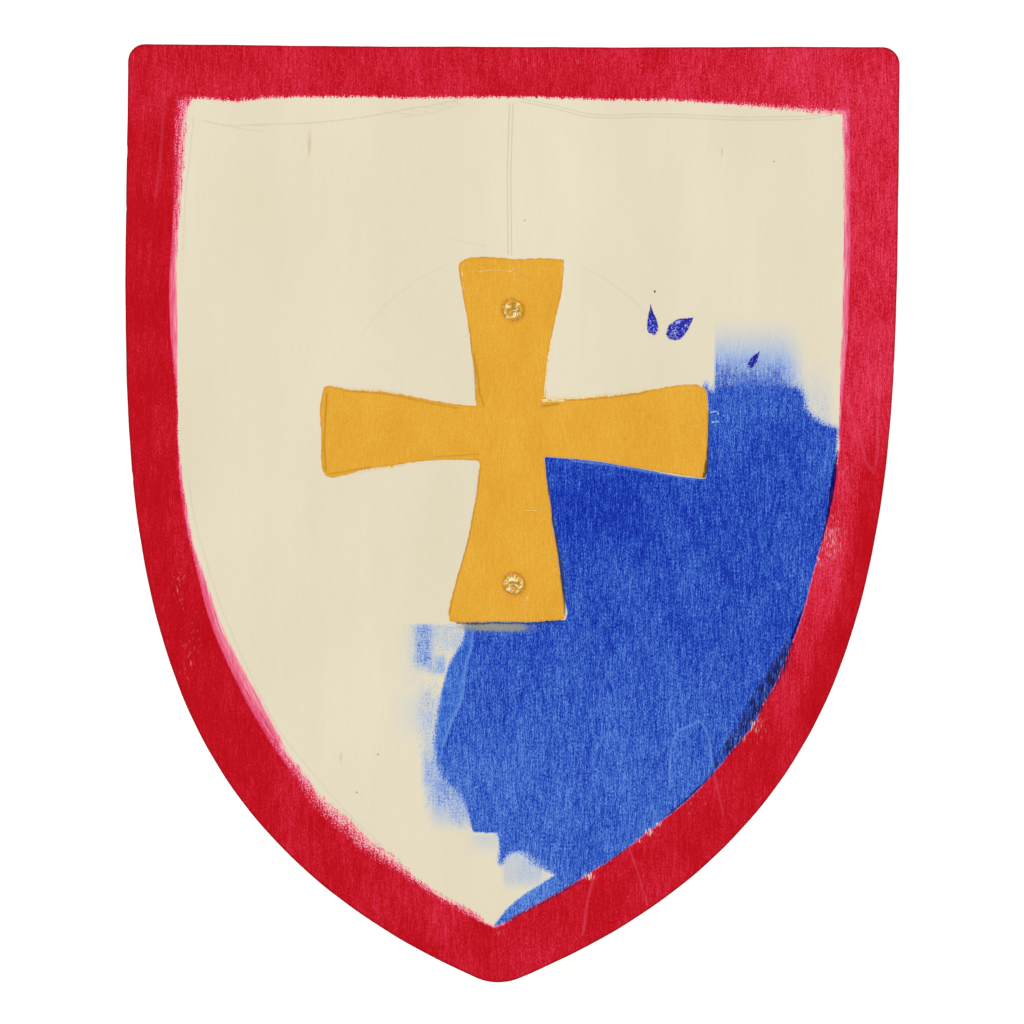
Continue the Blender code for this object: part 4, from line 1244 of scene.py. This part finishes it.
def red_over(tree, layer, marks, below):
    """The border: a strong red that lets the fibres through, a streaky pink band where it ran thin
    along its inner edge, grainy where the brush was dry."""
    dry = layer["red_dry"]
    ragged = add(tree, MATH, (marks["bristle"], 0.5), operation="SUBTRACT")
    gritty = add(tree, MATH, (marks["grit"], 0.5), operation="SUBTRACT")
    wander = add(tree, MATH, (dry, 0.75, 0.12), operation="MULTIPLY_ADD")
    edge = add(tree, MATH, (ragged, wander, layer["red"]), operation="MULTIPLY_ADD")
    edge = add(tree, MATH, (gritty, add(tree, MATH, (dry, 0.3, 0.1), operation="MULTIPLY_ADD"), edge),
               operation="MULTIPLY_ADD")
    solid = add(tree, RANGE, (edge, -0.3, 0.4), interpolation_type="SMOOTHSTEP")
    share = add(tree, MATH, (edge, layer["red_band"]), operation="DIVIDE")
    share = add(tree, MATH, (share, 1.0), operation="ADD")
    present = add(tree, RANGE, (share, -0.12, 0.25), interpolation_type="SMOOTHSTEP")
    lane = add(tree, MATH, (marks["lane"], 0.50, -0.25), operation="MULTIPLY_ADD")
    thinner = add(tree, RANGE, (share, 0.2, 1.0, 1.0, 0.35))
    pink = add(tree, RANGE, (share, 0.0, 1.0, 0.26, 0.56))
    pink = weigh(tree, pink, (lane, thinner), (ragged, 0.10))
    pink = add(tree, MATH, (pink, present), operation="MULTIPLY")
    grains = weigh(tree, share, (marks["grit"], 0.50), (marks["bristle"], 0.30), (marks["lane"], 0.34))
    grains = add(tree, RANGE, (grains, 0.80, 1.42, 0.0, 0.95))
    grains = add(tree, MATH, (grains, present), operation="MULTIPLY")
    least = add(tree, MATH, (pink, 0.45), operation="MULTIPLY")
    grains = add(tree, MATH, (grains, least), operation="MAXIMUM")
    spread = add(tree, MIX, {0: dry, 2: pink, 3: grains})
    amount = add(tree, MATH, (solid, spread), operation="MAXIMUM")
    scuffed = add(tree, MATH, (layer["red_scuff"], 1.1, marks["fleck"]), operation="MULTIPLY_ADD")
    scuffed = add(tree, RANGE, (scuffed, 1.15, 1.75, 0.0, 0.66))
    cover = add(tree, RANGE, (amount, 0.0, 0.26), interpolation_type="SMOOTHSTEP")

    fine = weigh(tree, -0.17, (marks["dash"], 0.34), (marks["hair"], 0.34))
    fine = add(tree, MATH, (fine, 0.17), operation="SUBTRACT")
    deep = add(tree, MATH, (layer["red_tone"], 0.8, 0.6), operation="MULTIPLY_ADD")
    tone = weigh(tree, layer["red_tone"], (fine, deep), (marks["streak"], 0.16), (marks["blotch"], 0.30))
    tone = add(tree, MATH, (tone, 0.21), operation="SUBTRACT")
    paint = add(tree, RAMP, (tone,), stops=[(0.0, "#B80012"), (1.0, "#EA4468"), (0.30, "#C60A1E"),
                                            (0.65, "#DA2A46")])
    thin = add(tree, RAMP, (amount,), stops=[(0.10, "#F8A8B0"), (0.95, "#D21A38"), (0.34, "#F2809A"),
                                             (0.60, "#E0486E")])
    whole = add(tree, RANGE, (amount, 0.60, 0.98))
    paint = blend(tree, whole, thin, paint)
    # Painted shade: the red goes darker within about a millimetre of the outline, along the rounded arris.
    rim = add(tree, RANGE, (layer["rim"], 0.3, 1.3, 0.55, 0.0), interpolation_type="SMOOTHSTEP")
    paint = blend(tree, rim, paint, "#96061A")
    paint = blend(tree, scuffed, paint, "#F4A4AE")
    scratches = add(tree, MATH, (marks["line"], add(tree, RANGE, (marks["bristle"], 0.0, 1.0, 0.3, 0.75))),
                    operation="MULTIPLY")
    paint = blend(tree, scratches, paint, "#EC5E7C")
    return blend(tree, cover, below, paint), cover


def strokes_over(tree, layer, marks, below):
    """The dark strokes at the colours' edges, near black where blue laps over red and olive where
    pencil and wet ochre met, and the chips where the wood stayed bare."""
    ragged = add(tree, MATH, (marks["bristle"], 0.5), operation="SUBTRACT")
    rag = add(tree, MATH, (ragged, layer["stroke_rag"]), operation="MULTIPLY")
    sway = add(tree, MATH, (marks["shake"], 0.3, -0.15), operation="MULTIPLY_ADD")
    away = add(tree, MATH, (add(tree, MATH, (layer["stroke"], sway), operation="ADD"),), operation="ABSOLUTE")
    depth = add(tree, MATH, (layer["stroke_width"], away), operation="SUBTRACT")
    depth = add(tree, MATH, (rag, 1.6, depth), operation="MULTIPLY_ADD")
    reach = add(tree, MATH, (layer["stroke_rag"], 0.2), operation="ADD")
    depth = add(tree, MATH, (depth, reach), operation="DIVIDE")
    depth = add(tree, RANGE, (depth, -0.9, 0.7), interpolation_type="SMOOTHSTEP")
    threads = add(tree, MATH, (marks["fleck"], 0.5), operation="SUBTRACT")
    threads = add(tree, MATH, (threads, layer["stroke_rag"], rag), operation="MULTIPLY_ADD")
    patchy = add(tree, MATH, (layer["stroke_rag"], -0.22, threads), operation="MULTIPLY_ADD")
    patchy = add(tree, RANGE, (patchy, -1.0, 0.0))
    depth = add(tree, MATH, (depth, patchy), operation="MULTIPLY")
    depth = add(tree, MATH, (depth, layer["stroke_dark"]), operation="MULTIPLY")
    ink = blend(tree, layer["stroke_warm"], "#0A0054", "#3A361A")
    below = blend(tree, depth, below, ink)
    chip = add(tree, MATH, (layer["chip"], 0.9, marks["fleck"]), operation="MULTIPLY_ADD")
    chip = add(tree, RANGE, (chip, 1.0, 1.5, 0.0, 0.9))
    chip = add(tree, MATH, (chip, add(tree, RANGE, (layer["chip"], 0.1, 0.4))), operation="MULTIPLY")
    return blend(tree, chip, below, "#F2DED2")


def painted_edge():
    """The sawn edge of five-ply under one coat of red: end grain drinks it and goes dark, long grain
    stays brighter, and bare wood shows in the nicks."""
    material, tree, shader = new_material("acrylic_on_sawn_ply_edge", Specular_IOR_Level=0.2)
    place = place_in_mm(tree)
    height = add(tree, SPLIT, (place,), out=2)
    ply = (FACE - BACK) / MM / PLIES
    across = add(tree, MATH, (height, BACK / MM), operation="SUBTRACT")
    wave = add(tree, MATH, (across, ply), operation="PINGPONG")
    glue = add(tree, RANGE, (wave, 0.0, 0.16, 0.5, 0.0))
    turns = add(tree, MATH, (add(tree, MATH, (across, 1 / ply), operation="MULTIPLY"),), operation="FLOOR")
    end_grain = add(tree, MATH, (turns, 2.0), operation="MODULO")
    fleck = grain(tree, place, 0.5, 0.5, detail=3.0, seed=2.2)
    patch = grain(tree, place, 9, 9, detail=3.0, seed=4.8)
    tone = weigh(tree, 0.1, (fleck, 0.5), (patch, 0.35), (end_grain, -0.18))
    red = add(tree, RAMP, (tone,), stops=[(0.15, "#7A0616"), (0.8, "#D02C42"), (0.45, "#AE0E24")])
    red = blend(tree, glue, red, "#560C14")
    wood = add(tree, RAMP, (fleck,), stops=[(0.3, "#A8845A"), (0.7, "#D6C094")])
    bare = add(tree, RANGE, (patch, 0.60, 0.66), interpolation_type="SMOOTHSTEP")
    bare = add(tree, MATH, (bare, add(tree, RANGE, (fleck, 0.40, 0.55))), operation="MULTIPLY")
    tree.links.new(blend(tree, bare, red, wood), shader.inputs["Base Color"])
    tree.links.new(add(tree, RANGE, (fleck, 0.2, 0.8, 0.5, 0.8)), shader.inputs["Roughness"])
    bump = add(tree, "ShaderNodeBump", {"Strength": 0.5, "Distance": 0.0002, "Height": fleck})
    tree.links.new(bump, shader.inputs["Normal"])
    return material


def bare_plywood_back():
    """The unpainted back: the poorer veneer, a shade warmer than the face, with fine sanding marks and
    a little red that ran round the edge."""
    material, tree, shader = new_material("sanded_birch_plywood_back", Specular_IOR_Level=0.3)
    place = place_in_mm(tree)
    moved = add(tree, VECTOR, (place, (400.0, 150.0, 0.0)), operation="ADD")
    wood = bare_birch(tree, moved)
    bands = grain(tree, moved, 11, 140, detail=4.0, seed=7.0)
    rings = add(tree, MATH, (add(tree, MATH, (bands, 14.0), operation="MULTIPLY"),), operation="FRACT")
    rings = add(tree, RANGE, (rings, 0.72, 1.0, 0.0, 0.42))
    wood = blend(tree, rings, wood, "#C8AC7E")
    smear = grain(tree, place, 3, 3, detail=3.0, seed=3.3)
    depth = add(tree, STORED, out=2, attribute_name="rim")
    slop = add(tree, MATH, (smear, 9.0), operation="MULTIPLY")
    slop = add(tree, MATH, (slop, depth), operation="SUBTRACT")
    slop = add(tree, RANGE, (slop, 3.6, 4.8))
    tree.links.new(blend(tree, slop, wood, "#BC1C32"), shader.inputs["Base Color"])
    fibres = grain(tree, place, 0.5, 8, detail=3.0, seed=1.8)
    tree.links.new(add(tree, RANGE, (fibres, 0.2, 0.8, 0.5, 0.72)), shader.inputs["Roughness"])
    bump = add(tree, "ShaderNodeBump", {"Strength": 0.35, "Distance": 0.00015, "Height": fibres})
    tree.links.new(bump, shader.inputs["Normal"])
    return material


def sanded_pine():
    """A pine grip, sawn and sanded, its rings running along it: straight lines on the sides, arcs where
    the corners cut across them."""
    material, tree, shader = new_material("sanded_pine", Roughness=0.55, Specular_IOR_Level=0.35)
    place = place_in_mm(tree)
    parts = add(tree, SPLIT, (place,))
    y, z = parts.node.outputs[1], parts.node.outputs[2]
    warp = grain(tree, place, 22, 160, detail=2.0, seed=2.0)
    across = add(tree, MATH, (parts, 31.0), operation="ADD")
    deep = add(tree, MATH, (z, 18.0), operation="ADD")
    away = add(tree, VECTOR, (add(tree, JOIN, (across, deep, 0.0)),), out=1, operation="LENGTH")
    away = add(tree, MATH, (warp, 11.0, away), operation="MULTIPLY_ADD")
    ring = add(tree, MATH, (add(tree, MATH, (away, 1 / 2.6), operation="MULTIPLY"),), operation="FRACT")
    late = add(tree, RANGE, (ring, 0.35, 0.92, 0.0, 1.0), interpolation_type="SMOOTHSTEP")
    early = add(tree, RANGE, (ring, 0.93, 1.0, 1.0, 0.0), interpolation_type="SMOOTHSTEP")
    late = add(tree, MATH, (late, early), operation="MULTIPLY")
    fibres = grain(tree, place, 0.35, 7, detail=3.0, seed=6.6)
    tone = add(tree, MATH, (fibres, 0.5, late), operation="MULTIPLY_ADD")
    base = add(tree, RAMP, (tone,), stops=[(0.15, "#E2C491"), (1.35 / 1.4, "#B9854A"), (0.5, "#D9B47C")])
    tree.links.new(base, shader.inputs["Base Color"])
    relief = add(tree, MATH, (late, 0.5, fibres), operation="MULTIPLY_ADD")
    bump = add(tree, "ShaderNodeBump", {"Strength": 0.4, "Distance": 0.0002, "Height": relief})
    tree.links.new(bump, shader.inputs["Normal"])
    return material


def thick_acrylic(name, dark, middle, light, painted_highlight, roughness, curl):
    """Acrylic left thick: it dries with a gloss and a wrinkled skin that ordinary coats lack. Short bright
    curl-shaped marks on it are painted highlights, standing for the light that the skin catches, and a
    screw's recess is darkened with painted shade."""
    material, tree, shader = new_material(name, Roughness=roughness, Specular_IOR_Level=0.25)
    place = place_in_mm(tree)
    lumps = grain(tree, place, 1.4, 1.4, detail=3.0, seed=3.9)
    recess = add(tree, STORED, out=2, attribute_name="recess")
    # Painted shade: the tone goes darker in a screw's recess, over a tone that varies at random.
    tone = add(tree, MATH, (recess, -0.28, lumps), operation="MULTIPLY_ADD")
    base = add(tree, RAMP, (tone,), stops=[(0.25, dark), (0.75, light), (0.48, middle)])
    # Painted highlights: thin bright marks along the contours of this noise, broken up, in the highlight
    # colour. The same noise bumps the surface.
    folds = add(tree, NOISE, {"Vector": place, "Scale": curl, "Detail": 1.0, "Distortion": 1.2})
    painted_highlight_curls = add(tree, MATH, (folds, 0.5), operation="SUBTRACT")
    painted_highlight_curls = add(tree, MATH, (painted_highlight_curls,), operation="ABSOLUTE")
    painted_highlight_curls = add(tree, RANGE, (painted_highlight_curls, 0.01, 0.045, 1.0, 0.0), interpolation_type="SMOOTHSTEP")
    broken = grain(tree, place, 0.8 / curl, 0.8 / curl, detail=1.0, seed=6.2)
    broken = add(tree, RANGE, (broken, 0.36, 0.50), interpolation_type="SMOOTHSTEP")
    painted_highlight_curls = add(tree, MATH, (painted_highlight_curls, broken), operation="MULTIPLY")
    base = blend(tree, painted_highlight_curls, base, painted_highlight)
    tree.links.new(base, shader.inputs["Base Color"])
    bump = add(tree, "ShaderNodeBump", {"Strength": 0.4, "Distance": 0.0004, "Height": folds})
    tree.links.new(bump, shader.inputs["Normal"])
    return material


# The studio


def floor_material():
    """White card on a dim light table, with the faintest mottling."""
    material, tree, shader = new_material("white_card", Roughness=0.8, Specular_IOR_Level=0.2,
                                          Emission_Color=WHITE, Emission_Strength=CARD_GLOW)
    mottle = grain(tree, place_in_mm(tree), 40, 40, seed=1.0)
    base = add(tree, RAMP, (mottle,), stops=[(0.3, "#FCFCFB"), (0.7, "#FEFEFE")])
    tree.links.new(base, shader.inputs["Base Color"])
    return material


def make_floor():
    mesh = bpy.data.meshes.new("floor")
    cage = bmesh.new()
    bmesh.ops.create_grid(cage, x_segments=1, y_segments=1, size=CARD_SIZE)
    cage.to_mesh(mesh)
    cage.free()
    mesh.materials.append(floor_material())
    show(mesh, "floor")


def soft_light(name, place, size, power):
    light = bpy.data.lights.new(name, "AREA")
    light.shape, light.size, light.energy = "SQUARE", size, power
    lamp = bpy.data.objects.new(name, light)
    lamp.location = place
    lamp.rotation_euler = (Vector((0, 0, FACE)) - Vector(place)).to_track_quat("-Z", "Y").to_euler()
    bpy.context.scene.collection.objects.link(lamp)


def make_studio():
    make_floor()
    for name, place, size, watts in SOFTBOXES:
        soft_light(name, place, size, watts)
    world = bpy.data.worlds.new("studio")
    world.use_nodes = True
    sky = world.node_tree.nodes["Background"]
    sky.inputs["Color"].default_value = WHITE
    sky.inputs["Strength"].default_value = SKY_STRENGTH
    bpy.context.scene.world = world
    bpy.context.scene.view_settings.view_transform = "Standard"


def make_camera():
    lens = bpy.data.cameras.new("camera")
    lens.lens, lens.sensor_width = LENS, SENSOR
    camera = bpy.data.objects.new("camera", lens)
    distance = VIEW_WIDTH * MM * LENS / SENSOR
    camera.location = (VIEW_MIDDLE[0] * MM, VIEW_MIDDLE[1] * MM, FACE + distance)
    camera.rotation_euler = (0, 0, BOARD_TURN)
    bpy.context.scene.collection.objects.link(camera)
    bpy.context.scene.camera = camera


def finish_piece(piece, slot, *nodes):
    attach(piece, "root")
    if nodes:
        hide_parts(*nodes)


def main():
    make_camera()
    make_studio()
    # The last colour of each thick paint is its painted highlight. The beads' paints are lighter than the
    # cross's ochre and the drops' blue: the beads are real ridges whose paleness is partly a painted
    # highlight.
    ochre = thick_acrylic("glossy_thick_ochre_acrylic", "#B4841A", "#D8A026", "#E8B43C", "#FFEFC2", 0.3, 0.24)
    bead = thick_acrylic("ochre_acrylic_on_a_bead", "#DC9E2A", "#E9B144", "#F0C66C", "#F8DCA0", 0.4, 0.5)
    pale = thick_acrylic("watery_ochre_acrylic_on_a_bead", "#DDB04E", "#F2D896", "#FFF0CC", "#FFF6E0",
                         0.3, 0.5)
    blue = thick_acrylic("glossy_thick_blue_acrylic", "#0A0C8C", "#1418AC", "#2438CC", "#BEC2F4", 0.26, 0.42)
    pale_blue = thick_acrylic("thin_blue_acrylic_on_a_bead", "#4A6ED0", "#86A4E6", "#C4D4F4", "#E4ECFC",
                              0.3, 0.5)
    board = make_board(painted_plywood(), painted_edge(), bare_plywood_back())
    finish_piece(board, "painted_plywood", "shield_board")
    finish_piece(make_handle(sanded_pine()), "handle_wood", "back_handle")
    coat = coat_tree()
    for seed, name in enumerate(SCREWS):
        finish_piece(make_screw(coat, name, ochre, 3.7 + seed), "painted_screw", name)
    ridge = ridge_tree()
    finish_piece(make_ridges(ridge, "ochre_paint_ridges", OCHRE_RIDGES, bead, 1.0), "painted_plywood")
    finish_piece(make_ridges(ridge, "pale_paint_ridges", PALE_RIDGES, pale, 3.0), "painted_plywood")
    finish_piece(make_ridges(ridge, "blue_paint_ridges", BLUE_RIDGES, pale_blue, 2.0), "painted_plywood")
    finish_piece(make_drops(blue), "painted_plywood")


main()
